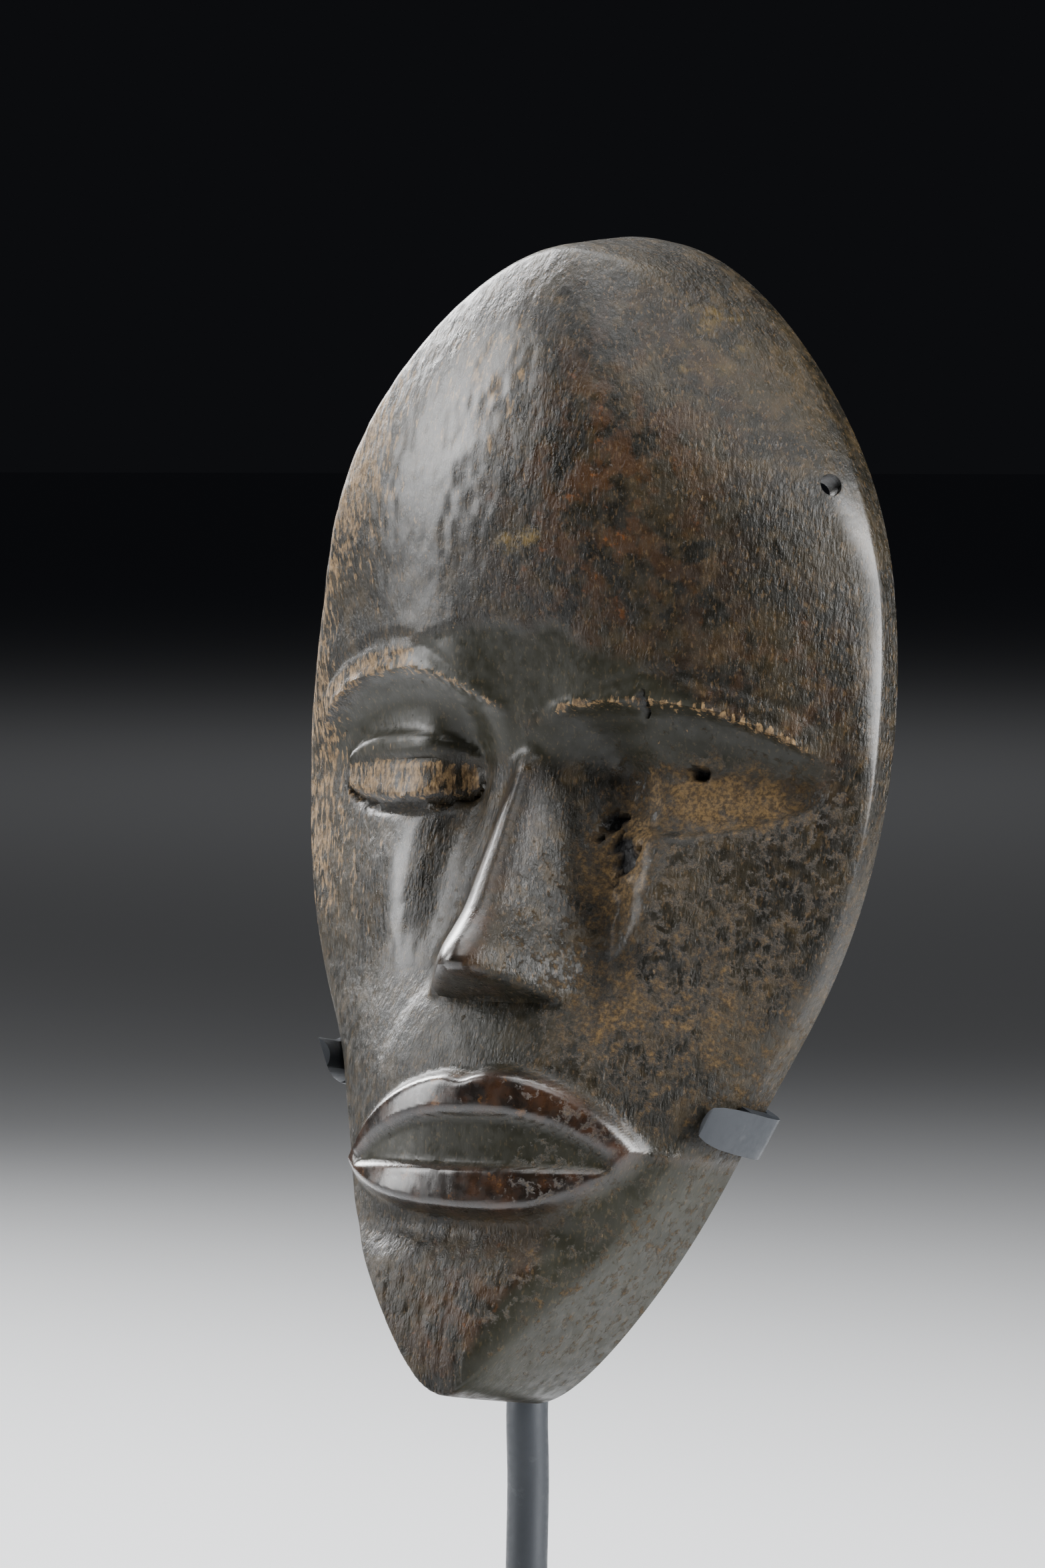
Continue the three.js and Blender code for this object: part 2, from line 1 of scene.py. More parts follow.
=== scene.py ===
# A small carved wooden face mask on its display stand, finished for the picture.
import bmesh
import bpy
import numpy as np
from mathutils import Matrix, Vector


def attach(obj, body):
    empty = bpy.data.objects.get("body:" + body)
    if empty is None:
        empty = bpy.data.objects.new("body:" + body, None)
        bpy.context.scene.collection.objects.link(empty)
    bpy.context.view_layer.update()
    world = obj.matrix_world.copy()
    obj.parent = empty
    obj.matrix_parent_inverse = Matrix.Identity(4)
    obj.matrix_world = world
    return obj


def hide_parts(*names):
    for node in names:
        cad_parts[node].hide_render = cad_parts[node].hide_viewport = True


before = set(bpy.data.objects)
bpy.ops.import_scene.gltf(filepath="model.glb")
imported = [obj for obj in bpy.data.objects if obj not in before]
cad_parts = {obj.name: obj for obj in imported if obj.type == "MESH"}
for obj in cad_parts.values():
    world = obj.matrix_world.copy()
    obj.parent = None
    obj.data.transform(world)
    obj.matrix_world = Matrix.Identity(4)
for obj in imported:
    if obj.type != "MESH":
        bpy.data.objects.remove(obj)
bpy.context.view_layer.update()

# The mask: one piece of hard wood, carved with adze and knife, hollow behind the face with a flat rim.
# It was stained dark, rubbed with oil and handled until it shone. Its sizes are millimetres in its own frame:
# x to the viewer's right, z up from the chin, depth forward from the rim.
MILLIMETRE = 0.001
SHARP_EDGE = np.radians(50)
MASK_HEIGHT = 168.5
MASK_WIDTH = 96.0
MASK_TILT = np.radians(11.0)
CHIN_LEVEL = 62.0
ROD_RADIUS = 3.0
ROD_ASIDE = 3.0
RIM_WALL = 3.0
RIM_WIDTH = 6.0
HOLLOW_DEPTH = 18.0
CORD_HOLE_LEVEL = 131.0
CORD_HOLE_RADIUS = 1.6
CORD_HOLE_TURN = np.radians(40.0)
CARVING = MASK_HEIGHT / 170.0
MOUTH_LEVEL = 33.1
LIP_REACH = 24.5
MIDDLE_DEPTH = [
    (0, 24), (8, 25.4), (17, 24.6), (25, 23.3), (34, 23.5), (44, 24.2), (52, 22.5), (62, 19), (75, 17.5),
    (88, 17), (95, 19.5), (105, 22.6), (116, 26), (128, 28.6), (140, 29), (152, 27), (162, 23), (170, 17),
]
SQUARENESS = [(0, 3.2), (22, 2.9), (38, 2.3), (60, 2), (90, 2.1), (130, 2.1), (170, 2.1)]
LEFT_SHARE = [
    (0, 1), (12, 0.97), (22, 0.8), (34, 0.5), (50, 0.27), (65, 0.16), (90, 0.13),
    (108, 0.3), (125, 0.5), (145, 0.62), (170, 0.75),
]
RIGHT_SHARE = [
    (0, 0.72), (12, 0.64), (22, 0.58), (34, 0.44), (50, 0.27), (65, 0.22), (90, 0.24),
    (104, 0.2), (118, 0.14), (130, 0.18), (145, 0.13), (160, 0.12), (170, 0.3),
]
LEFT_BEVEL = [
    (0, 9), (20, 8), (34, 5.5), (48, 2.6), (65, 1.6), (100, 1.55), (120, 2.1), (140, 2.9), (170, 3.4),
]
RIGHT_BEVEL = [(0, 9), (20, 8), (34, 5.5), (48, 2.8), (65, 2.2), (130, 2.2), (150, 2.6), (170, 3.4)]
BEVEL_BLEND = [(0, 4.5), (20, 5.5), (34, 4), (60, 2), (170, 2.5)]
CHIN_DROP = 0.12
CHIN_DROP_HEIGHT = 14
HOLLOW_SHARE = [
    (0, 0.3), (12, 0.5), (30, 0.72), (50, 0.66), (70, 0.44), (88, 0.36), (100, 0.55),
    (125, 1), (145, 1), (160, 0.7), (170, 0.3),
]


def soft_min(a, b, blend):
    h = np.clip(0.5 + 0.5 * (b - a) / blend, 0, 1)
    return b + (a - b) * h - blend * h * (1 - h)


def soft_max(a, b, blend):
    return -soft_min(-a, -b, blend)


def ramp(value, low, high):
    t = np.clip((value - low) / (high - low), 0, 1)
    return t * t * (3 - 2 * t)


def bell(value, centre, width):
    return np.exp(-((value - centre) / width) ** 2)


def spot(x, z, at_x, at_z, wide, high):
    """1 at a place on the face, fading over that width and height."""
    return np.exp(-((x - at_x) / wide) ** 2 - ((z - at_z) / high) ** 2)


def through(stations, place):
    """A smooth curve through (place, value) stations."""
    at, value = np.array(stations, float).T
    slope = np.gradient(value, at, edge_order=1)
    slope[1:-1] = (value[2:] - value[:-2]) / (at[2:] - at[:-2])
    place = np.clip(place, at[0], at[-1])
    i = np.clip(np.searchsorted(at, place, side="right") - 1, 0, len(at) - 2)
    span = at[i + 1] - at[i]
    t = (place - at[i]) / span
    from_here = (1 + 2 * t) * (1 - t) ** 2 * value[i] + t * (1 - t) ** 2 * span * slope[i]
    from_next = t * t * (3 - 2 * t) * value[i + 1] + t * t * (t - 1) * span * slope[i + 1]
    return from_here + from_next


def half_width(z):
    """The outline in the rim plane: an ellipse, fuller at the forehead and drawn in at the jaw."""
    q = np.clip(2 * z / MASK_HEIGHT - 1, -1, 1)
    changes = 1 + 0.028 * bell(z / CARVING, 135, 20) - 0.045 * bell(z / CARVING, 42, 16)
    return MASK_WIDTH / 2 * np.sqrt(1 - q * q) * (0.987 + 0.2 * q - 0.27 * q * q) * changes


def edge_distance(x, z):
    turn = np.linspace(0, np.pi, 361)
    line_z = MASK_HEIGHT / 2 * (1 - np.cos(turn))
    line_x = half_width(line_z)
    step_x = np.diff(line_x)
    step_z = np.diff(line_z)
    nearest = np.empty(x.size)
    flat_x = np.abs(x).ravel()
    flat_z = np.asarray(z, float).ravel()
    for start in range(0, x.size, 20000):
        from_x = flat_x[start:start + 20000, None] - line_x[:-1]
        from_z = flat_z[start:start + 20000, None] - line_z[:-1]
        t = np.clip((from_x * step_x + from_z * step_z) / (step_x ** 2 + step_z ** 2), 0, 1)
        apart = np.hypot(from_x - t * step_x, from_z - t * step_z)
        nearest[start:start + 20000] = apart.min(axis=1)
    return nearest.reshape(x.shape)


def hills(x, z, size, seed):
    """Smooth uneven ground from -1 to 1, with humps of about that size."""
    table = np.random.default_rng(seed).uniform(-1, 1, (256, 256))
    u = np.asarray(x / size)
    v = np.asarray(z / size)
    i = np.floor(u).astype(int)
    j = np.floor(v).astype(int)
    s = (u - i) ** 2 * (3 - 2 * (u - i))
    t = (v - j) ** 2 * (3 - 2 * (v - j))
    low = table[i % 256, j % 256] * (1 - s) + table[(i + 1) % 256, j % 256] * s
    high = table[i % 256, (j + 1) % 256] * (1 - s) + table[(i + 1) % 256, (j + 1) % 256] * s
    return low * (1 - t) + high * t


def broken(x, z, size, seed):
    """Hills with smaller hills on them, for patches that end in ragged edges."""
    rough = 0.5 * hills(x, z, size, seed) + 0.27 * hills(x + 3, z, size / 2.1, seed + 1)
    return rough + 0.15 * hills(x, z + 5, size / 4.3, seed + 2) + 0.08 * hills(x, z, size / 8.7, seed + 3)


def brow_line(x):
    reach = np.abs(x)
    arch = np.sin(np.pi * np.clip(reach, 0, 42) / 42)
    return 94.3 + 6.2 * np.maximum(arch, 0) ** 0.75 - np.sign(x) * 2 * ramp(reach, 0, 22)


def above(line, x, z):
    """Distance above a line drawn on the face, square to the line."""
    lean = (line(x + 0.3) - line(x - 0.3)) / 0.6
    return (z - line(x)) / np.sqrt(1 + lean ** 2)


def corner_lift(x, power):
    """The right corner of the mouth is drawn up, the left one a little down."""
    return np.where(x > 0, 3.4, -1) * np.clip(np.abs(x) / LIP_REACH, 0, 1) ** power


def upper_lip(x):
    arch = 12.6 * (1 - np.clip(np.abs(x) / LIP_REACH, 0, 1) ** 2.2) ** 0.85
    return MOUTH_LEVEL + arch - 0.7 * bell(x, 0, 2.2) + corner_lift(x, 0.9)


def upper_lip_inside(x):
    arch = 6.2 * (1 - np.clip(np.abs(x) / 20.5, 0, 1) ** 2.2) ** 0.9
    return MOUTH_LEVEL + arch + 0.8 * corner_lift(x, 1)


def lower_lip_inside(x):
    return MOUTH_LEVEL - 1.1 + 0.4 * corner_lift(x, 1)


def lower_lip(x):
    arch = 7.6 * (1 - np.clip(np.abs(x) / LIP_REACH, 0, 1) ** 2.4) ** 0.8
    return MOUTH_LEVEL - 0.4 - arch + corner_lift(x, 4)


def lips(x, z, reach):
    """How far the lips stand out, and which share of a place is lip and which is the sunk mouth."""
    in_top = ramp(-above(upper_lip, x, z), -0.6, 1.5)
    in_bottom = ramp(above(lower_lip, x, z), -0.6, 1.6)
    upper = ramp(above(upper_lip_inside, x, z), -0.8, 0.8) * in_top
    lower = ramp(-above(lower_lip_inside, x, z), -0.8, 0.8) * in_bottom
    inside = in_top * in_bottom * ramp(24.8 - reach, 0, 1.4)
    corner = ramp(reach, 19.5, 22) * inside
    band = np.maximum(np.maximum(upper, lower), corner)
    sunk = np.maximum(inside - band, 0)
    below_lip = 1.6 * bell(z, 23, 3) * ramp(reach, 24, 10)
    height = 3.4 * band * (1 - 0.35 * np.clip(reach / LIP_REACH, 0, 1)) + 1.3 * sunk - below_lip
    return height, band, sunk


def left_eye(x, z):
    """Height of the eye, and which share of a place is its rounded lid and which its flat block."""
    along = (x + 23.9) / 13.7
    opening = 5.5 * np.maximum(1 - along * along, 0) ** 0.4
    across = (z - 89.3) / np.maximum(opening, 0.3)
    shown = ramp(1 - np.abs(along), 0, 0.1)
    lid = ramp(across, 1.03, 0.75) * ramp(across, 0.2, 0.36)
    block = ramp(across, 0.28, 0.14) * ramp(across, -0.98, -0.75)
    groove = bell(across, -1.06, 0.16)
    return shown * (1.2 * lid + 0.9 * block - 1.3 * groove), shown * lid, shown * block


def right_eye_hollow(x, z):
    """The eye at the right has crumbled away to a shallow hollow over a rising lower edge."""
    shown = ramp(x, 9, 15) * ramp(x, 44, 38)
    lower_edge = 81 + 0.014 * np.maximum(x - 20, 0) ** 2
    hollow = ramp(z, lower_edge - 0.7, lower_edge + 0.7) * ramp(z, 94, 89)
    lid = 0.7 * bell(z, 91, 1.2) * ramp(x, 18, 26)
    return shown * (lid - 1.3 * hollow), shown * hollow


def nose(reach, z):
    ball = bell(z, 61.5, 5)
    ridge = 19.9 + (89 - z) * np.where(z > 89, 0.15, 0.381) + ball
    edge_round = 1.6 + (89 - np.clip(z, 55, 89)) * 0.07 + 1.4 * ball
    flanks = ridge - 1.65 * (np.hypot(reach, edge_round) - edge_round)
    underside = 21 + (z - 56.2) * 3.5
    return soft_min(flanks, underside, 3) - np.maximum(z - 90, 0) * 1.2


def sideways(x, left, right):
    """From the value at the left to the one at the right, over a stretch of the middle."""
    return left + (right - left) * ramp(x, -12, 18)


def carved_face(real_x, real_z):
    """Depth of the carving, and the places that the finish follows."""
    x = real_x / CARVING
    z = real_z / CARVING
    reach = np.abs(x)
    half = np.maximum(half_width(np.clip(real_z, 0.02 * MASK_HEIGHT, 0.98 * MASK_HEIGHT)) / CARVING, 10)
    across = np.minimum(reach / half, 1.2) ** through(SQUARENESS, z)
    share = sideways(x, through(LEFT_SHARE, z), through(RIGHT_SHARE, z))
    depth = through(MIDDLE_DEPTH, z) * (1 - (1 - share) * across)
    over_brow = z - brow_line(x)
    proud = 1.5 * ramp(reach, 2, 12) * ramp(reach, 46, 34) * ramp(over_brow, -0.6, 0.3)
    depth = depth + proud * bell(np.maximum(over_brow, 0), 0, 8)
    under_brow = np.maximum(-over_brow, 0)
    socket = ramp(under_brow, 0, 4) * bell(under_brow, 4.5, 6) * ramp(reach, 3, 10) * ramp(reach, 44, 36)
    inner_eye = np.where(x < 0, 4.2 * bell(reach, 12, 3.8), 3.2 * bell(reach, 12, 5.5)) * bell(z, 88, 8.5)
    depth = depth - 1.4 * socket - inner_eye
    depth = depth - np.where(x < 0, 0.9, 1.6) * bell(reach, 14, 4.5) * bell(z, 72, 12)
    depth = depth + np.where(x < 0, 1.4, 2.6) * bell(reach, 22.5, 6.5) * bell(z, 72, 11)
    left_height, lid, block = left_eye(x, z)
    right_height, crumbled = right_eye_hollow(x, z)
    depth = depth + left_height + right_height
    nose_depth = nose(reach, z)
    on_nose = ramp(nose_depth - depth, -0.5, 1.5)
    depth = soft_max(depth, nose_depth, 1.5 + 2 * ramp(z, 80, 92))
    muzzle_edge = 14 + (57 - z) * 0.45
    depth = depth + 0.5 * ramp(muzzle_edge - reach, -2, 2) * ramp(z, 30, 38) * ramp(z, 60, 54)
    lip_depth, lip_band, mouth = lips(x, z, reach)
    depth = depth + lip_depth
    places = {"nose": on_nose, "lips": lip_band, "mouth": mouth, "lid": lid, "block": block,
              "crumbled": crumbled, "over_brow": over_brow}
    return depth * CARVING, places


def mask_surface(x, z):
    inward = edge_distance(x, z)
    depth, places = carved_face(x, z)
    level = z / CARVING
    slope = sideways(x / CARVING, through(LEFT_BEVEL, level), through(RIGHT_BEVEL, level))
    bevel = RIM_WALL + slope * inward
    places["bevel"] = ramp(depth - bevel, -1.5, 1.5)
    rounded = soft_min(depth, bevel, through(BEVEL_BLEND, level) * CARVING)
    return soft_min(rounded, 9 * inward, 1), inward, places


def hollow_surface(x, z):
    inward = edge_distance(x, z) - RIM_WIDTH
    deep = HOLLOW_DEPTH * through(HOLLOW_SHARE, z / CARVING)
    half = np.maximum(half_width(z), 10 * CARVING)
    bowl = deep * (1 - 0.75 * np.minimum(np.abs(x) / half, 1) ** 2.4)
    return soft_min(bowl, 1.6 * inward, 2)


def oval_grid(columns, rows, inset):
    """A square grid rounded to a disc and stretched to the outline, drawn in by inset."""
    u = np.linspace(-1, 1, columns + 1)[None, :]
    v = np.linspace(-1, 1, rows + 1)[:, None]
    square_x = u * np.sqrt(1 - v * v / 2)
    square_z = v * np.sqrt(1 - u * u / 2)
    radius = np.hypot(square_x, square_z)
    spread = np.where(radius > 1e-9, np.sin(radius * np.pi / 2) / np.maximum(radius, 1e-9), np.pi / 2)
    disc_x = square_x * spread
    disc_z = np.clip(square_z * spread, -1, 1)
    z = MASK_HEIGHT / 2 * (1 + disc_z)
    x = half_width(z) * disc_x / np.sqrt(np.maximum(1 - disc_z ** 2, 1e-12))
    x = np.where(np.abs(disc_z) > 1 - 1e-9, 0, x)
    away = np.maximum(np.hypot(x, z - MASK_HEIGHT / 2), 1e-9)
    towards_middle = 1 - inset * radius / away
    return x * towards_middle, MASK_HEIGHT / 2 + (z - MASK_HEIGHT / 2) * towards_middle


def stand_place(x, depth, z):
    """From the mask's own frame in millimetres to the stand's frame in metres."""
    y = z * np.sin(MASK_TILT) - depth * np.cos(MASK_TILT) - ROD_RADIUS
    up = z * np.cos(MASK_TILT) + depth * np.sin(MASK_TILT) + CHIN_LEVEL
    return np.stack([x + ROD_ASIDE, y, up], axis=-1) * MILLIMETRE


def grid_faces(columns, rows, first, flip):
    i, j = np.meshgrid(np.arange(columns), np.arange(rows))
    corner = first + j * (columns + 1) + i
    above = corner + columns + 1
    quads = np.stack([corner, corner + 1, above + 1, above], axis=-1).reshape(-1, 4)
    return quads[:, ::-1] if flip else quads


def grid_border(columns, rows, first):
    bottom = np.arange(columns)
    right = np.arange(rows) * (columns + 1) + columns
    top = rows * (columns + 1) + np.arange(columns, 0, -1)
    left = np.arange(rows, 0, -1) * (columns + 1)
    return first + np.concatenate([bottom, right, top, left])


def joined_borders(outer, inner):
    """Triangles between two closed borders, walking both at the same pace."""
    faces = []
    i = 0
    j = 0
    while i < len(outer) or j < len(inner):
        a = outer[i % len(outer)]
        b = inner[j % len(inner)]
        if j == len(inner) or (i < len(outer) and (i + 1) / len(outer) <= (j + 1) / len(inner)):
            faces.append((a, b, outer[(i + 1) % len(outer)]))
            i += 1
        else:
            faces.append((a, b, inner[(j + 1) % len(inner)]))
            j += 1
    return faces


def mesh_object(name, points, faces, materials):
    mesh = bpy.data.meshes.new(name)
    mesh.from_pydata(points, [], faces)
    mesh.validate()
    for material in materials:
        mesh.materials.append(material)
    piece = bpy.data.objects.new(name, mesh)
    bpy.context.scene.collection.objects.link(piece)
    return piece


# Front: the carved face with its worn relief, from the rim's outer corner over the whole of the face.
FACE_COLUMNS = 240
FACE_ROWS = 320
face_x, face_z = oval_grid(FACE_COLUMNS, FACE_ROWS, 0)
face_depth, inward, place = mask_surface(face_x, face_z)
reach = np.abs(face_x)
well_inside = ramp(inward, 0.3, 3)


def on_face(at_x, at_z, wide, high):
    return spot(face_x, face_z, at_x, at_z, wide, high)


def edge_at_zero(depth):
    """The grid's border lies in the rim plane."""
    depth[[0, -1], :] = 0
    depth[:, [0, -1]] = 0
    return depth


# The finish is uneven. Bare wood shows in streaks at the left temple, dust lies in the right eye, and what
# stands out has been rubbed until it shines.
over_brow = place["over_brow"]
bare = 0.8 * on_face(-33, 136, 12, 22) + 0.5 * on_face(-8, 142, 9, 12)
bare += 0.5 * ramp(face_x, -34, -43) * ramp(face_z, 55, 80) * ramp(face_z, 140, 120)
bare += 0.35 * on_face(-33, 76, 9, 16)
brow_line_worn = ramp(np.abs(over_brow - 0.5), 1.2, 0.3) * ramp(reach, 2, 6) * ramp(reach, 44, 38)
left_brow_worn = ramp(face_x, -14, -22) * ramp(over_brow, -0.5, 0.3) * ramp(over_brow, 4.2, 3)
bare = np.maximum(bare, 0.6 * np.maximum(brow_line_worn, left_brow_worn))
bare = np.clip(np.maximum(bare, 0.62 * place["block"]), 0, 1)
right_eye = on_face(27, 86, 15, 6)
beside_nose = on_face(15, 76, 6.5, 13)
right_cheek = 0.62 * on_face(18, 58, 11, 15)
below_eye = 0.5 * on_face(28, 55, 16, 22)
dust = np.maximum(np.maximum(right_eye, beside_nose), np.maximum(right_cheek, below_eye))
dust = np.maximum(dust, 0.45 * on_face(2, 66, 14, 10) * ramp(place["nose"], 0.8, 0.2))
dust = np.maximum(dust, 0.28 * ramp(face_z, 96, 84) * ramp(face_x, 2, 12))
dust = np.clip(dust * 1.15 * (0.85 + 0.3 * broken(face_x, face_z, 7, 41)), 0, 1)
edge_wobble = 1.6 * broken(face_x, face_z, 6, 45)
smooth = ramp(-over_brow + edge_wobble, -0.5, 1) * ramp(face_z, 88, 92) * ramp(reach, 44, 38)
smooth_top = 108 - 0.011 * (face_x + 4) ** 2
under_top = ramp(face_z - smooth_top + 1.5 * edge_wobble, 1.5, -1.5)
between_brows = ramp(face_z, 93, 97) * under_top * ramp(reach, 40, 30)
jaw_side = ramp(face_x - 0.55 * face_z + 1.5 * edge_wobble, -1, 2)
jaw_side = jaw_side * ramp(face_z, 42, 30) * ramp(face_x, 0, 3)
under_nose = 0.7 * on_face(1, 51, 9, 6)
smooth = np.maximum(np.maximum(smooth, between_brows), np.maximum(jaw_side, place["mouth"]))
smooth = np.clip(np.maximum(smooth, under_nose), 0, 1) * (1 - place["lips"])
nose_tip = on_face(1, 61, 6, 6)
nose_ridge = ramp(place["nose"], 0.5, 1) * ramp(face_x, 5, 1)
rubbed_nose = nose_ridge * (0.35 * ramp(face_z, 92, 84) + 0.5 * nose_tip)
rubbed = np.clip(place["lips"] + rubbed_nose, 0, 1)
polish = np.maximum(rubbed, on_face(-8, 130, 20, 26))
polish = np.maximum(polish, 0.95 * on_face(-25, 70, 10, 14))
polish = np.maximum(polish, 0.35 * on_face(25, 68, 10, 12))
polish = np.maximum(polish, place["bevel"] * ramp(face_x, 10, 22) * ramp(face_z, 50, 70))
red = np.clip(on_face(12, 126, 13, 20) + 0.6 * on_face(36, 100, 9, 12), 0, 1)
red = np.maximum(red, 0.7 * on_face(4, 12, 12, 9))
ochre = on_face(-1, 119.3, 3.4, 1.3) + on_face(2.5, 120.5, 1.6, 1)
ochre = np.maximum(ochre, 0.4 * on_face(21, 150, 6, 10))
ochre = ramp(ochre + 0.35 * broken(face_x, face_z, 2.5, 47), 0.25, 0.55) * np.clip(ochre * 2, 0, 1)
# Black pitch that fills small holes beside the nose.
pitch_black = np.maximum(on_face(11.5, 81.5, 1.7, 2.7), on_face(15.6, 76.4, 2.2, 2.8))
pitch_black = np.maximum(pitch_black, on_face(13.5, 78.8, 1.2, 2))
pitch_black = np.maximum(pitch_black, 0.8 * on_face(15.7, 69.4, 0.7, 0.7))
pitch_black = ramp(pitch_black + 0.4 * hills(face_x, face_z, 1.2, 51), 0.42, 0.58)
eye_hole = ramp(on_face(24.6, 89.3, 1.7, 0.8), 0.3, 0.7)
brow_nick = ramp(on_face(18.6, 98, 0.9, 1.5) + 0.25 * hills(face_x, face_z, 1, 61), 0.35, 0.6)

# Relief: a leathery crust that breaks off above the brows, faint lines above the brows and under the right
# eye, a crusted right eye, pits at the chin, a fuller nose tip, and the small holes and nicks.
crust = ramp(smooth, 0.7, 0.2)
leather = 0.07 * hills(face_x * 1.5, face_z, 1.9, 71) + 0.06 * hills(face_x, face_z, 3.6, 72)
leather += 0.08 * hills(face_x, face_z, 8, 73)
relief = leather * (0.2 + 0.8 * crust) * (1 - 0.7 * rubbed)
relief += 0.3 * crust * ramp(face_z, 90, 96)
relief += 0.5 * bell(over_brow, 0.5, 0.8) * ramp(reach, 2, 5) * ramp(reach, 44, 38)
above_brow = over_brow - 1.2 - 3.6 * ramp(reach, 6, 24)
relief -= 0.35 * bell(above_brow, 0, 0.8) * ramp(reach, 8, 16) * ramp(reach, 46, 40)
cheek_line = bell(face_z - 62 - 0.5 * (face_x - 26), 0, 0.9)
relief -= 0.4 * cheek_line * ramp(face_x, 20, 24) * ramp(face_x, 36, 30)
relief += 0.4 * dust * (0.5 * hills(face_x, face_z, 1.5, 81) + 0.5 * hills(face_x, face_z, 3.1, 82))
chin_front = on_face(-5, 15, 13, 11)
pits = ramp(hills(face_x, face_z, 1.3, 91) + 0.5 * hills(face_x, face_z, 3.1, 92), -0.2, -0.7)
relief -= 0.2 * chin_front * pits
relief -= 0.15 * bare * ramp(hills(face_x * 3, face_z, 2.4, 101), 0.1, -0.6)
relief *= 1 - 0.75 * place["bevel"] * ramp(face_z, 40, 25)
relief += 1.5 * on_face(-0.5, 60, 5, 4.5) * ramp(place["nose"], 0.3, 1)
relief -= 1.2 * pitch_black + 1.6 * eye_hole + 1.2 * brow_nick
face_depth = edge_at_zero(face_depth + relief * well_inside)

# Back: the hollow, cut out with a curved adze that left shallow scallops.
HOLLOW_COLUMNS = 90
HOLLOW_ROWS = 120
hollow_x, hollow_z = oval_grid(HOLLOW_COLUMNS, HOLLOW_ROWS, RIM_WIDTH)
hollow_depth = hollow_surface(hollow_x, hollow_z)
scallops = 0.25 * np.abs(hills(hollow_x * 1.6, hollow_z, 6, 111))
scallops += 0.1 * hills(hollow_x, hollow_z, 2.3, 112)
hollow_depth = edge_at_zero(hollow_depth - scallops * ramp(hollow_depth, 0.5, 3))

# The chin's underside slopes down towards the front.
face_low = face_z - CHIN_DROP * face_depth * ramp(face_z / CARVING, CHIN_DROP_HEIGHT, 0)
face_points = stand_place(face_x, face_depth, face_low).reshape(-1, 3)
hollow_points = stand_place(hollow_x, hollow_depth, hollow_z).reshape(-1, 3)
face_quads = grid_faces(FACE_COLUMNS, FACE_ROWS, 0, False)
hollow_quads = grid_faces(HOLLOW_COLUMNS, HOLLOW_ROWS, len(face_points), True)
rim = joined_borders(
    grid_border(FACE_COLUMNS, FACE_ROWS, 0),
    grid_border(HOLLOW_COLUMNS, HOLLOW_ROWS, len(face_points)),
)
mask_points = np.concatenate([face_points, hollow_points])
mask_faces = face_quads.tolist() + hollow_quads.tolist() + rim


# Shader groups that several finishes share. Each puts out a mask or a height.
def new_group(name, inputs, outputs):
    """A shader group that reads a vector and the named numbers."""
    tree = bpy.data.node_groups.new(name, "ShaderNodeTree")
    tree.interface.new_socket("Vector", in_out="INPUT", socket_type="NodeSocketVector")
    for socket_name, value in inputs.items():
        socket = tree.interface.new_socket(socket_name, in_out="INPUT", socket_type="NodeSocketFloat")
        socket.default_value = value
    for socket_name in outputs:
        tree.interface.new_socket(socket_name, in_out="OUTPUT", socket_type="NodeSocketFloat")
    return tree, tree.nodes.new("NodeGroupInput"), tree.nodes.new("NodeGroupOutput")


def add(tree, kind, settings=None, **values):
    """A node with its settings and inputs, which go by name, or by number as i0, i1. A socket is linked."""
    node = tree.nodes.new(kind)
    for key, value in (settings or {}).items():
        setattr(node, key, value)
    for key, value in values.items():
        numbered = key[0] == "i" and key[1:].isdigit()
        socket = node.inputs[int(key[1:]) if numbered else key]
        if isinstance(value, bpy.types.NodeSocket):
            tree.links.new(value, socket)
        else:
            socket.default_value = value
    return node


def maths(tree, operation, a, b=0.0, c=0.0, clamp=False):
    node = add(tree, "ShaderNodeMath", {"operation": operation, "use_clamp": clamp}, i0=a, i1=b, i2=c)
    return node.outputs[0]


def remap(tree, value, low, high, to_low=0.0, to_high=1.0):
    node = add(tree, "ShaderNodeMapRange", {"interpolation_type": "SMOOTHSTEP"}, Value=value)
    node.inputs["From Min"].default_value = low
    node.inputs["From Max"].default_value = high
    node.inputs["To Min"].default_value = to_low
    node.inputs["To Max"].default_value = to_high
    return node.outputs[0]


def noise(tree, vector, scale, detail=4.0, roughness=0.55):
    node = add(tree, "ShaderNodeTexNoise", None, Vector=vector, Detail=detail, Roughness=roughness)
    if isinstance(scale, bpy.types.NodeSocket):
        tree.links.new(scale, node.inputs["Scale"])
    else:
        node.inputs["Scale"].default_value = scale
    return node.outputs[0]


def mixed(tree, share, first, second):
    node = tree.nodes.new("ShaderNodeMix")
    node.data_type = "RGBA"
    for socket, value in ((node.inputs[0], share), (node.inputs[6], first), (node.inputs[7], second)):
        if isinstance(value, bpy.types.NodeSocket):
            tree.links.new(value, socket)
        else:
            socket.default_value = value
    return node.outputs[2]


grain_sizes = {"Scale": 900.0, "Length": 6.0}
grain_tree, grain_in, grain_out = new_group("wood_grain", grain_sizes, ["Value", "Pores"])
squeeze = add(grain_tree, "ShaderNodeCombineXYZ", None, X=1.0, Y=1.0)
grain_tree.links.new(maths(grain_tree, "DIVIDE", 1.0, grain_in.outputs["Length"]), squeeze.inputs["Z"])
stretched = add(grain_tree, "ShaderNodeVectorMath", {"operation": "MULTIPLY"})
grain_tree.links.new(grain_in.outputs["Vector"], stretched.inputs[0])
grain_tree.links.new(squeeze.outputs[0], stretched.inputs[1])
grain_noise = noise(grain_tree, stretched.outputs[0], grain_in.outputs["Scale"], 4.0, 0.6)
grain_tree.links.new(grain_noise, grain_out.inputs["Value"])
grain_tree.links.new(remap(grain_tree, grain_noise, 0.56, 0.66), grain_out.inputs["Pores"])

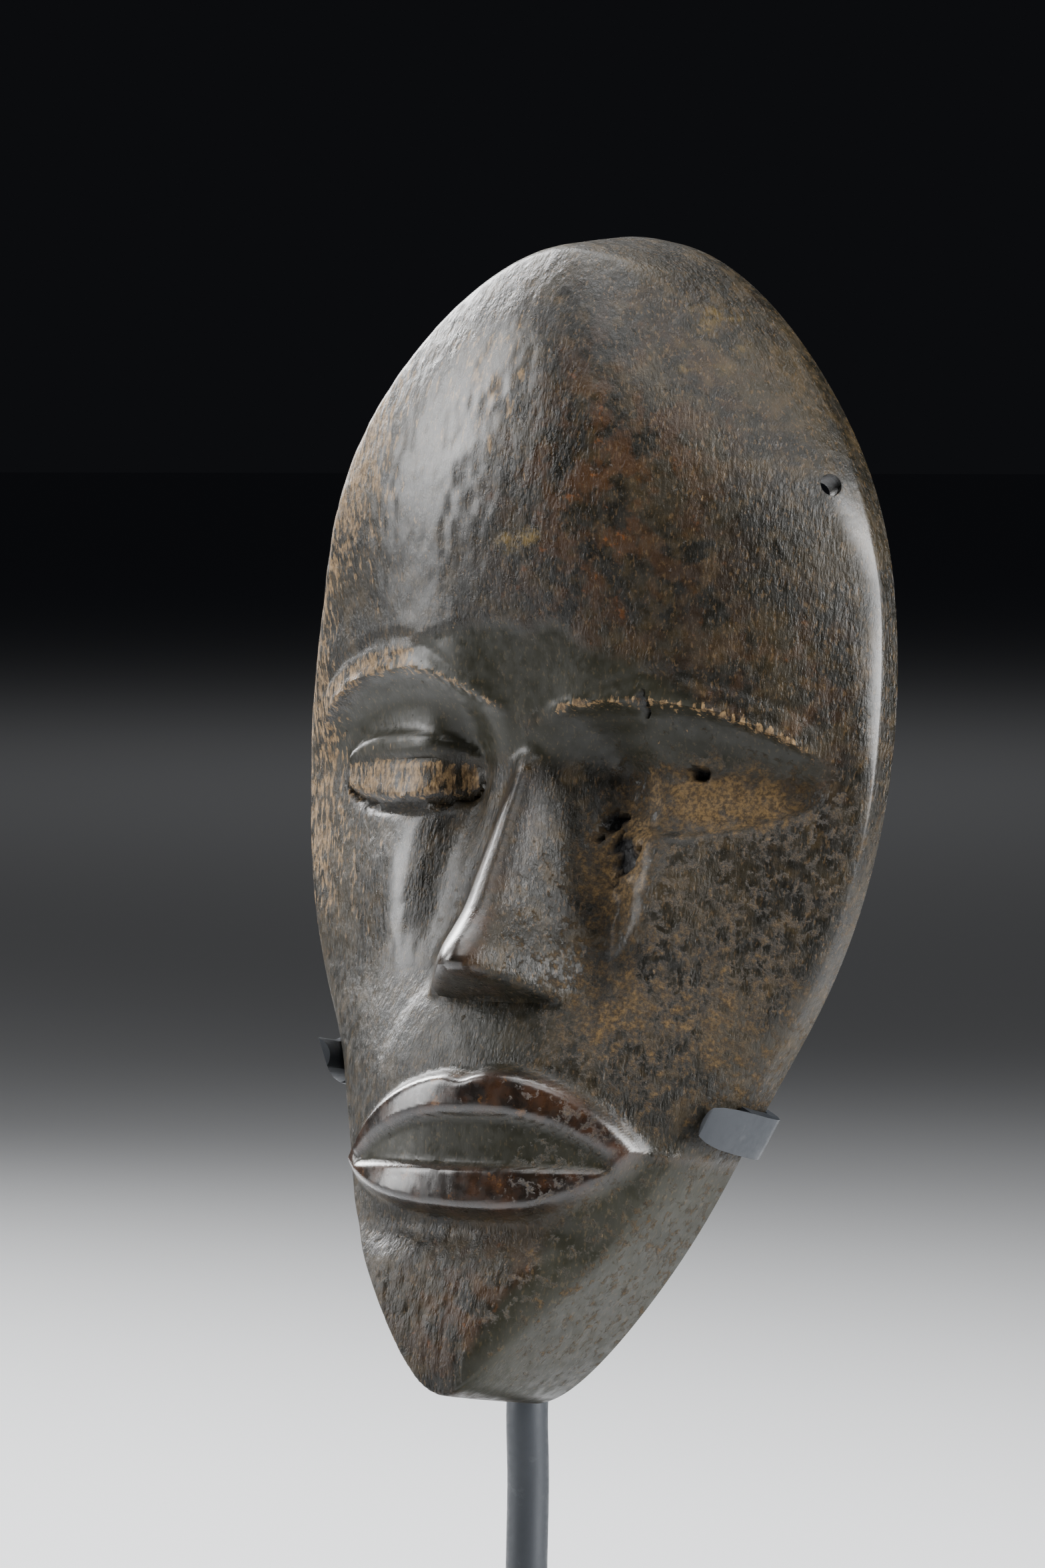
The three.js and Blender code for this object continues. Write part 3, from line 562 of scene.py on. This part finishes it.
patch_sizes = {"Scale": 60.0, "Level": 0.5, "Softness": 0.06}
patches_tree, patches_in, patches_out = new_group("worn_patches", patch_sizes, ["Mask"])
patch_noise = noise(patches_tree, patches_in.outputs["Vector"], patches_in.outputs["Scale"], 7.0, 0.62)
patch_rise = maths(patches_tree, "SUBTRACT", patch_noise, patches_in.outputs["Level"])
patch_mask = maths(patches_tree, "DIVIDE", patch_rise, patches_in.outputs["Softness"], clamp=True)
patches_tree.links.new(patch_mask, patches_out.inputs["Mask"])

leather_tree, leather_in, leather_out = new_group("leathery_ground", {"Scale": 700.0}, ["Height"])
cells = add(leather_tree, "ShaderNodeTexVoronoi", {"feature": "SMOOTH_F1"})
leather_tree.links.new(leather_in.outputs["Vector"], cells.inputs["Vector"])
leather_tree.links.new(leather_in.outputs["Scale"], cells.inputs["Scale"])
finer = maths(leather_tree, "MULTIPLY", leather_in.outputs["Scale"], 1.7)
fine = noise(leather_tree, leather_in.outputs["Vector"], finer, 5.0, 0.6)
ground = maths(leather_tree, "ADD", maths(leather_tree, "MULTIPLY", cells.outputs["Distance"], 0.6), fine)
leather_tree.links.new(ground, leather_out.inputs["Height"])


def group(tree, source, **values):
    node = tree.nodes.new("ShaderNodeGroup")
    node.node_tree = source
    for key, value in values.items():
        if isinstance(value, bpy.types.NodeSocket):
            tree.links.new(value, node.inputs[key])
        else:
            node.inputs[key].default_value = value
    return node


def new_material(name):
    material = bpy.data.materials.new(name)
    material.use_nodes = True
    tree = material.node_tree
    shader = tree.nodes["Principled BSDF"]
    return material, tree, shader


def attribute(tree, name):
    return add(tree, "ShaderNodeAttribute", {"attribute_name": name}).outputs["Fac"]


def scaled(tree, value, factor):
    return maths(tree, "MULTIPLY", value, factor)


# Patina of the face: near-black stain over brown wood, full of fine upright grains. It has gone red-brown
# where hands rubbed it, olive grey where it is smooth and sheltered, tan where the wood lies bare, and ochre
# with dust.
BLACK_STAIN = (0.0075, 0.0068, 0.0045, 1)
BROWN_STAIN = (0.021, 0.0165, 0.009, 1)
OILED_BROWN = (0.040, 0.028, 0.013, 1)
RED_BROWN = (0.058, 0.027, 0.011, 1)
RUST = (0.150, 0.052, 0.012, 1)
OPEN_PORE = (0.105, 0.066, 0.030, 1)
LIP_BLACK = (0.008, 0.005, 0.004, 1)
LIP_BROWN = (0.040, 0.017, 0.008, 1)
LIP_WORN = (0.140, 0.062, 0.018, 1)
DARK_OLIVE = (0.010, 0.0105, 0.007, 1)
PALE_OLIVE = (0.029, 0.028, 0.018, 1)
OLIVE_PORE = (0.085, 0.062, 0.030, 1)
BARE_LIGHT = (0.250, 0.160, 0.074, 1)
BARE_DARK = (0.075, 0.046, 0.021, 1)
DUST_DARK = (0.036, 0.022, 0.009, 1)
DUST_LIGHT = (0.150, 0.092, 0.033, 1)
OCHRE = (0.150, 0.098, 0.026, 1)
# Near black: the pitch, and painted shade inside the eye hole and the brow nick.
PITCH_AND_HOLE_SHADE_BLACK = (0.003, 0.003, 0.0035, 1)
patina, tree, shader = new_material("dark_patina")
coords = tree.nodes.new("ShaderNodeTexCoord").outputs["Object"]
upright = add(tree, "ShaderNodeMapping", None, Vector=coords)
upright.inputs["Rotation"].default_value = (float(MASK_TILT), 0, 0)
along_grain = upright.outputs[0]
stains = group(tree, patches_tree, Vector=coords, Scale=75.0, Level=0.48, Softness=0.14)
browner = group(tree, patches_tree, Vector=along_grain, Scale=340.0, Level=0.5, Softness=0.14)
reddish = group(tree, patches_tree, Vector=along_grain, Scale=230.0, Level=0.47, Softness=0.1)
grains = group(tree, grain_tree, Vector=along_grain, Scale=2200.0, Length=2.2)
strokes = group(tree, grain_tree, Vector=along_grain, Scale=1250.0, Length=3.5)
colour = mixed(tree, stains.outputs["Mask"], BLACK_STAIN, BROWN_STAIN)
colour = mixed(tree, scaled(tree, browner.outputs["Mask"], 0.7), colour, OILED_BROWN)
red_share = scaled(tree, attribute(tree, "red"), reddish.outputs["Mask"])
colour = mixed(tree, scaled(tree, red_share, 0.75), colour, RED_BROWN)
rust = remap(tree, noise(tree, along_grain, 520.0, 5.0, 0.65), 0.60, 0.68)
colour = mixed(tree, scaled(tree, red_share, scaled(tree, rust, 0.8)), colour, RUST)
colour = mixed(tree, scaled(tree, grains.outputs["Pores"], 0.5), colour, OPEN_PORE)
lip_stain = mixed(tree, remap(tree, noise(tree, coords, 240.0, 6.0), 0.42, 0.66), LIP_BLACK, LIP_BROWN)
worn_lip = remap(tree, noise(tree, coords, 430.0, 6.0, 0.65), 0.60, 0.68)
lip_stain = mixed(tree, scaled(tree, worn_lip, 0.7), lip_stain, LIP_WORN)
colour = mixed(tree, scaled(tree, attribute(tree, "rubbed"), 0.85), colour, lip_stain)
olive = mixed(tree, noise(tree, coords, 130.0, 5.0), DARK_OLIVE, PALE_OLIVE)
olive = mixed(tree, scaled(tree, grains.outputs["Pores"], 0.4), olive, OLIVE_PORE)
colour = mixed(tree, scaled(tree, attribute(tree, "smooth"), 0.93), colour, olive)
wood = mixed(tree, remap(tree, grains.outputs["Value"], 0.35, 0.65), BARE_LIGHT, BARE_DARK)
bare_ground = maths(tree, "ADD", strokes.outputs["Value"], scaled(tree, attribute(tree, "bare"), 0.42))
bare_share = remap(tree, bare_ground, 0.70, 0.78)
colour = mixed(tree, bare_share, colour, wood)
dust_noise = noise(tree, coords, 620.0, 8.0, 0.72)
dust_ground = maths(tree, "ADD", dust_noise, scaled(tree, attribute(tree, "dust"), 0.40))
dust_share = remap(tree, dust_ground, 0.62, 0.84)
dust_grain = remap(tree, noise(tree, coords, 1700.0, 6.0, 0.7), 0.38, 0.62)
colour = mixed(tree, scaled(tree, dust_share, 0.9), colour, mixed(tree, dust_grain, DUST_DARK, DUST_LIGHT))
ochre_share = scaled(tree, attribute(tree, "ochre"), remap(tree, dust_noise, 0.40, 0.62))
colour = mixed(tree, scaled(tree, ochre_share, 0.8), colour, OCHRE)
# Near black where pitch fills holes, and painted shade in the eye hole and brow nick.
pitch_and_hole_shade_share = attribute(tree, "pitch_black")
colour = mixed(tree, pitch_and_hole_shade_share, colour, PITCH_AND_HOLE_SHADE_BLACK)
tree.links.new(colour, shader.inputs["Base Color"])

rough = maths(tree, "SUBTRACT", 0.40, scaled(tree, attribute(tree, "polish"), 0.12))
dry = maths(tree, "MAXIMUM", dust_share, scaled(tree, bare_share, 0.4))
rough = maths(tree, "ADD", rough, scaled(tree, dry, 0.35))
rough = maths(tree, "ADD", rough, remap(tree, noise(tree, coords, 600.0, 6.0), 0.35, 0.65, -0.08, 0.1))
less_rough_on_pitch_and_holes = maths(tree, "SUBTRACT", 1.0, scaled(tree, pitch_and_hole_shade_share, 0.6))
tree.links.new(maths(tree, "MULTIPLY", rough, less_rough_on_pitch_and_holes, clamp=True), shader.inputs["Roughness"])

# The bump's height is in millimetres.
ground = group(tree, leather_tree, Vector=along_grain, Scale=560.0).outputs["Height"]
smooth_share = scaled(tree, attribute(tree, "smooth"), 0.85)
rubbed_share = scaled(tree, attribute(tree, "rubbed"), 0.8)
rougher = maths(tree, "SUBTRACT", 1.0, maths(tree, "MAXIMUM", smooth_share, rubbed_share))
grain_cut = scaled(tree, scaled(tree, grains.outputs["Value"], rougher), 0.14)
stroke_cut = scaled(tree, scaled(tree, strokes.outputs["Value"], rougher), 0.20)
height = scaled(tree, ground, scaled(tree, rougher, 0.13))
height = maths(tree, "SUBTRACT", height, grain_cut)
height = maths(tree, "SUBTRACT", height, stroke_cut)
height = maths(tree, "ADD", height, scaled(tree, scaled(tree, dust_noise, dust_share), 0.3))
bump = add(tree, "ShaderNodeBump", None, Height=height, Strength=1.0, Distance=MILLIMETRE)
tree.links.new(bump.outputs[0], shader.inputs["Normal"])
shader.inputs["IOR"].default_value = 1.36
tree.links.new(scaled(tree, attribute(tree, "polish"), 0.8), shader.inputs["Coat Weight"])
shader.inputs["Coat Roughness"].default_value = 0.24

# The hollow and the rim's back: the same wood, browner and dull, never polished.
RAW_BROWN = (0.085, 0.05, 0.028, 1)
HANDLED_BROWN = (0.028, 0.018, 0.012, 1)
DARK_PORE = (0.012, 0.008, 0.006, 1)
raw_wood, tree, shader = new_material("raw_hollow")
coords = tree.nodes.new("ShaderNodeTexCoord").outputs["Object"]
pores = group(tree, grain_tree, Vector=coords, Scale=800.0, Length=9.0)
stains = group(tree, patches_tree, Vector=coords, Scale=45.0, Level=0.46, Softness=0.16)
colour = mixed(tree, stains.outputs["Mask"], RAW_BROWN, HANDLED_BROWN)
colour = mixed(tree, scaled(tree, pores.outputs["Pores"], 0.6), colour, DARK_PORE)
tree.links.new(colour, shader.inputs["Base Color"])
tree.links.new(remap(tree, noise(tree, coords, 300.0), 0.3, 0.7, 0.55, 0.8), shader.inputs["Roughness"])
bump = add(tree, "ShaderNodeBump", None, Height=pores.outputs["Value"], Strength=1.0, Distance=0.0002)
tree.links.new(bump.outputs[0], shader.inputs["Normal"])

mask = mesh_object("carved_mask", mask_points.tolist(), mask_faces, [patina, raw_wood])
finish_slots = np.zeros(len(mask_faces), np.int32)
finish_slots[len(face_quads):] = 1
mask.data.polygons.foreach_set("material_index", finish_slots)
mask.data.shade_smooth()
mask.data.set_sharp_from_angle(angle=SHARP_EDGE)
# The hole in the right eye and the nick over the right brow are painted near black like the pitch: painted
# shade inside them.
pitch_and_hole_shade = np.maximum(np.maximum(pitch_black, eye_hole), 0.7 * brow_nick)
finishes = {"bare": bare, "dust": dust, "smooth": smooth, "rubbed": rubbed, "polish": polish, "red": red,
            "ochre": ochre, "pitch_black": pitch_and_hole_shade}
for name, values in finishes.items():
    layer = mask.data.attributes.new(name, "FLOAT", "POINT")
    with_hollow = np.concatenate([values.ravel(), np.zeros(len(hollow_points))])
    layer.data.foreach_set("value", with_hollow.astype(np.float32))

# Cord holes: one is bored through the rim at each temple.
BORE_SIDES = 32
BORE_HALF_LENGTH = 12
bore_x = half_width(CORD_HOLE_LEVEL) - RIM_WIDTH / 2
bore_depth = mask_surface(np.array([bore_x]), np.array([CORD_HOLE_LEVEL]))[0][0]


def bore_ring(side, along):
    """A ring of points round the hole at the right (1) or left (-1), at that distance along its axis."""
    turn = np.linspace(0, 2 * np.pi, BORE_SIDES, endpoint=False)
    ring_across = CORD_HOLE_RADIUS * np.cos(turn)
    ring_z = CORD_HOLE_LEVEL + CORD_HOLE_RADIUS * np.sin(turn)
    ring_x = bore_x + ring_across * np.cos(CORD_HOLE_TURN) + along * np.sin(CORD_HOLE_TURN)
    ring_depth = bore_depth - ring_across * np.sin(CORD_HOLE_TURN) + along * np.cos(CORD_HOLE_TURN)
    return stand_place(side * ring_x, ring_depth, ring_z)


walls = [tuple(range(BORE_SIDES - 1, -1, -1)), tuple(range(BORE_SIDES, 2 * BORE_SIDES))]
for i in range(BORE_SIDES):
    following = (i + 1) % BORE_SIDES
    walls.append((i, following, BORE_SIDES + following, BORE_SIDES + i))
for side in (1, -1):
    bore_points = np.concatenate([bore_ring(side, -BORE_HALF_LENGTH), bore_ring(side, BORE_HALF_LENGTH)])
    outward = walls if side > 0 else [wall[::-1] for wall in walls]
    bore = mesh_object("bore", bore_points.tolist(), outward, [patina])
    bore.data.update()
    cut = mask.modifiers.new("bore", "BOOLEAN")
    cut.operation = "DIFFERENCE"
    cut.solver = "EXACT"
    cut.object = bore
    bpy.context.view_layer.update()
    bored = bpy.data.meshes.new_from_object(mask.evaluated_get(bpy.context.evaluated_depsgraph_get()))
    mask.modifiers.clear()
    mask.data = bored
    bpy.data.objects.remove(bore)
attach(mask, "root")
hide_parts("mask")

# The arms and the foot: a flat steel strip on each side that hooks round the jaw, and a square steel plate.
# The strips are bent cold and their edges filed. All of the stand is painted matt blue-grey.
PAINT_GREY = (0.030, 0.034, 0.040, 1)
PAINT_SCUFFED = (0.075, 0.08, 0.085, 1)
paint, tree, shader = new_material("stand_paint")
coords = tree.nodes.new("ShaderNodeTexCoord").outputs["Object"]
scuffs = group(tree, patches_tree, Vector=coords, Scale=320.0, Level=0.6, Softness=0.08)
colour = mixed(tree, scaled(tree, scuffs.outputs["Mask"], 0.35), PAINT_GREY, PAINT_SCUFFED)
tree.links.new(colour, shader.inputs["Base Color"])
dullness = remap(tree, noise(tree, coords, 900.0, 5.0), 0.3, 0.7, 0.4, 0.56)
tree.links.new(dullness, shader.inputs["Roughness"])
shader.inputs["Metallic"].default_value = 0.35
orange_peel = noise(tree, coords, 2600.0, 3.0)
bump = add(tree, "ShaderNodeBump", None, Height=orange_peel, Strength=0.12, Distance=0.1 * MILLIMETRE)
tree.links.new(bump.outputs[0], shader.inputs["Normal"])


def softened(name, node_name, edge):
    """The piece's own solid with its sharp edges filed round."""
    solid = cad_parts[node_name]
    piece = bpy.data.objects.new(name, solid.data.copy())
    piece.matrix_world = solid.matrix_world
    bpy.context.scene.collection.objects.link(piece)
    piece.data.materials.clear()
    piece.data.materials.append(paint)
    shell = bmesh.new()
    shell.from_mesh(piece.data)
    bmesh.ops.remove_doubles(shell, verts=shell.verts, dist=1e-6)
    sharp = [line for line in shell.edges if line.calc_face_angle(0) > SHARP_EDGE]
    bmesh.ops.bevel(
        shell, geom=sharp, offset=edge, segments=3, profile=0.5, affect="EDGES", clamp_overlap=True
    )
    shell.to_mesh(piece.data)
    shell.free()
    piece.data.shade_smooth()
    piece.data.set_sharp_from_angle(angle=np.radians(35))
    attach(piece, "root")
    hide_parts(node_name)


softened("right_strip", "right_arm", 0.3 * MILLIMETRE)
softened("left_strip", "left_arm", 0.3 * MILLIMETRE)
softened("square_foot", "foot", 0.4 * MILLIMETRE)

# The rod: one round steel rod, bent by hand. It rises from the foot, runs close behind the chin and leans
# into the hollow of the forehead.
CLEARANCE = 0.3
FOOT_THICKNESS = 8.0
SOCKET_DEPTH = 6.0
ROD_SWAY = 1.0
ROD_STEPS = 12
ROD_SIDES = 40
ARM_WIDTH = 6.4
HOOK_LEVEL = {1: 40.8, -1: 46.8}


def outline_normal(level):
    lean = float(half_width(level + 0.5) - half_width(level - 0.5))
    length = np.hypot(1, lean)
    return 1 / length, -lean / length


def arm_level(side):
    normal_x, normal_z = outline_normal(HOOK_LEVEL[side])
    return HOOK_LEVEL[side] - normal_z / normal_x * float(half_width(HOOK_LEVEL[side]))


def hollow_room(level):
    place_x, place_z = np.array([ROD_ASIDE]), np.array([level])
    return float(hollow_surface(place_x, place_z)[0]) - CLEARANCE - ROD_RADIUS


def behind_mask(back, level):
    return stand_place(-ROD_ASIDE, -back, level) / MILLIMETRE


def smooth_route(points, steps):
    """A smooth line through the points, evenly eased by the root of their spacing."""
    first = 2 * points[0] - points[1]
    last = 2 * points[-1] - points[-2]
    full = [first, *points, last]
    line = []
    for i in range(1, len(full) - 2):
        p0, p1, p2, p3 = full[i - 1:i + 3]
        d0, d1, d2 = (np.sqrt(np.linalg.norm(b - a)) for a, b in ((p0, p1), (p1, p2), (p2, p3)))
        t1 = ((p1 - p0) / d0 - (p2 - p0) / (d0 + d1) + (p2 - p1) / d1) * d1
        t2 = ((p2 - p1) / d1 - (p3 - p1) / (d1 + d2) + (p3 - p2) / d2) * d1
        for t in np.linspace(0, 1, steps, endpoint=False):
            bend = (3 * (p2 - p1) - 2 * t1 - t2) * t ** 2
            line.append(p1 + t1 * t + bend + (2 * (p1 - p2) + t1 + t2) * t ** 3)
    return np.array(line + [points[-1]])


behind_rim = CLEARANCE + ROD_RADIUS
lean_level = 0.52 * MASK_HEIGHT
prop_level = 0.7 * MASK_HEIGHT
prop_depth = hollow_room(prop_level) - 2 * CLEARANCE
rod_points = [
    np.array([0, 0, FOOT_THICKNESS - SOCKET_DEPTH + CLEARANCE]),
    np.array([0, 0, FOOT_THICKNESS + 2 * ROD_RADIUS]),
    np.array([0, 0.6 * ROD_SWAY, CHIN_LEVEL - 8 * ROD_RADIUS]),
    np.array([0, ROD_SWAY, CHIN_LEVEL - 4 * ROD_RADIUS]),
    behind_mask(behind_rim + 2 * CLEARANCE, -CLEARANCE),
    behind_mask(behind_rim + CLEARANCE, RIM_WIDTH),
    behind_mask(0, RIM_WIDTH + 6 * ROD_RADIUS),
    behind_mask(-ROD_RADIUS, arm_level(1) - 2 * ARM_WIDTH),
    behind_mask(-ROD_RADIUS, arm_level(-1) + ARM_WIDTH),
    behind_mask(-min(ROD_RADIUS, hollow_room(lean_level) - CLEARANCE), lean_level),
    behind_mask(-0.6 * prop_depth, 0.5 * (lean_level + prop_level)),
    behind_mask(-prop_depth, prop_level),
]
route = smooth_route(rod_points, ROD_STEPS) * MILLIMETRE
rod = mesh_object("steel_rod", route.tolist(), [], [paint])
links = np.arange(len(route) - 1)
rod.data.edges.add(len(links))
rod.data.edges.foreach_set("vertices", np.stack([links, links + 1], axis=1).ravel())

sweep = bpy.data.node_groups.new("round_bar", "GeometryNodeTree")
sweep.interface.new_socket("Geometry", in_out="INPUT", socket_type="NodeSocketGeometry")
radius_socket = sweep.interface.new_socket("Radius", in_out="INPUT", socket_type="NodeSocketFloat")
finish_socket = sweep.interface.new_socket("Finish", in_out="INPUT", socket_type="NodeSocketMaterial")
sweep.interface.new_socket("Geometry", in_out="OUTPUT", socket_type="NodeSocketGeometry")
bar_in = sweep.nodes.new("NodeGroupInput")
bar_out = sweep.nodes.new("NodeGroupOutput")
line = sweep.nodes.new("GeometryNodeMeshToCurve")
ring = sweep.nodes.new("GeometryNodeCurvePrimitiveCircle")
ring.inputs["Resolution"].default_value = ROD_SIDES
skin = sweep.nodes.new("GeometryNodeCurveToMesh")
skin.inputs["Fill Caps"].default_value = True
painted = sweep.nodes.new("GeometryNodeSetMaterial")
sweep.links.new(bar_in.outputs["Geometry"], line.inputs["Mesh"])
sweep.links.new(bar_in.outputs["Radius"], ring.inputs["Radius"])
sweep.links.new(line.outputs["Curve"], skin.inputs["Curve"])
sweep.links.new(ring.outputs["Curve"], skin.inputs["Profile Curve"])
sweep.links.new(skin.outputs["Mesh"], painted.inputs["Geometry"])
sweep.links.new(bar_in.outputs["Finish"], painted.inputs["Material"])
sweep.links.new(painted.outputs["Geometry"], bar_out.inputs["Geometry"])
bar = rod.modifiers.new("round_bar", "NODES")
bar.node_group = sweep
bar[radius_socket.identifier] = ROD_RADIUS * MILLIMETRE
bar[finish_socket.identifier] = paint
bpy.context.view_layer.update()
swept = bpy.data.meshes.new_from_object(rod.evaluated_get(bpy.context.evaluated_depsgraph_get()))
rod.modifiers.clear()
rod.data = swept
rod.data.shade_smooth()
rod.data.set_sharp_from_angle(angle=SHARP_EDGE)
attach(rod, "root")
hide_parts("rod")

# The studio: a plain pale floor, soft light from both sides, a weak one from above, one light each for the
# floor near the stand and further away, and the photograph's view.
FLOOR_REACH = 60
FLOOR_GREY = (0.70, 0.71, 0.73, 1)
floor_material, tree, shader = new_material("pale_floor")
shader.inputs["Base Color"].default_value = FLOOR_GREY
shader.inputs["Roughness"].default_value = 0.8
floor_corners = [(x * FLOOR_REACH, y * FLOOR_REACH, 0) for x, y in ((-1, -1), (1, -1), (1, 1), (-1, 1))]
floor = mesh_object("floor", floor_corners, [(0, 1, 2, 3)], [floor_material])

TARGET = Vector((0.00155, -0.003, 0.150))
VIEW_AZIMUTH = 32
VIEW_ELEVATION = 3.5
VIEW_DISTANCE = 0.75
FAR_FLOOR_LIGHT_HEIGHT = 1.4


def seen_from(azimuth, elevation, distance):
    turn = np.radians(azimuth)
    rise = np.radians(elevation)
    away = Vector((np.sin(turn) * np.cos(rise), -np.cos(turn) * np.cos(rise), np.sin(rise)))
    return TARGET + distance * away


def aimed(thing, place, target):
    thing.location = place
    thing.rotation_euler = (target - place).to_track_quat("-Z", "Y").to_euler()
    bpy.context.scene.collection.objects.link(thing)


def soft_light(name, place, target, wide, high, watts, spread):
    """A softbox with a grid that keeps its light off the floor further away."""
    lamp = bpy.data.lights.new(name, "AREA")
    lamp.shape = "RECTANGLE"
    lamp.size = wide
    lamp.size_y = high
    lamp.energy = watts
    lamp.spread = np.radians(spread)
    aimed(bpy.data.objects.new(name, lamp), place, target)


soft_light("left_softbox", seen_from(-60, 20, 1.0), TARGET, 0.42, 0.9, 3.6, 80)
soft_light("left_rim", seen_from(-114, 30, 1.0), TARGET, 0.3, 0.8, 3.4, 60)
soft_light("right_softbox", seen_from(98, 18, 0.9), TARGET, 0.4, 0.8, 4.2, 70)
soft_light("top_fill", seen_from(28, 62, 1.1), TARGET, 0.6, 0.6, 1.1, 80)
soft_light("floor_light", seen_from(VIEW_AZIMUTH + 180, 80, 0.72), TARGET, 0.5, 0.5, 2.2, 100)
far_floor = seen_from(VIEW_AZIMUTH + 180, 0, 2.4)
far_floor.z = 0
over_far_floor = far_floor + Vector((0, 0, FAR_FLOOR_LIGHT_HEIGHT))
soft_light("background_light", over_far_floor, far_floor, 1.0, 1.0, 2.2, 180)

world = bpy.data.worlds.new("studio")
world.use_nodes = True
world.node_tree.nodes["Background"].inputs["Color"].default_value = (0.20, 0.21, 0.25, 1)
world.node_tree.nodes["Background"].inputs["Strength"].default_value = 0.03
bpy.context.scene.world = world

lens = bpy.data.cameras.new("camera")
lens.lens = 122.1
lens.sensor_width = 36
camera = bpy.data.objects.new("camera", lens)
aimed(camera, seen_from(VIEW_AZIMUTH, VIEW_ELEVATION, VIEW_DISTANCE), TARGET)
bpy.context.scene.camera = camera
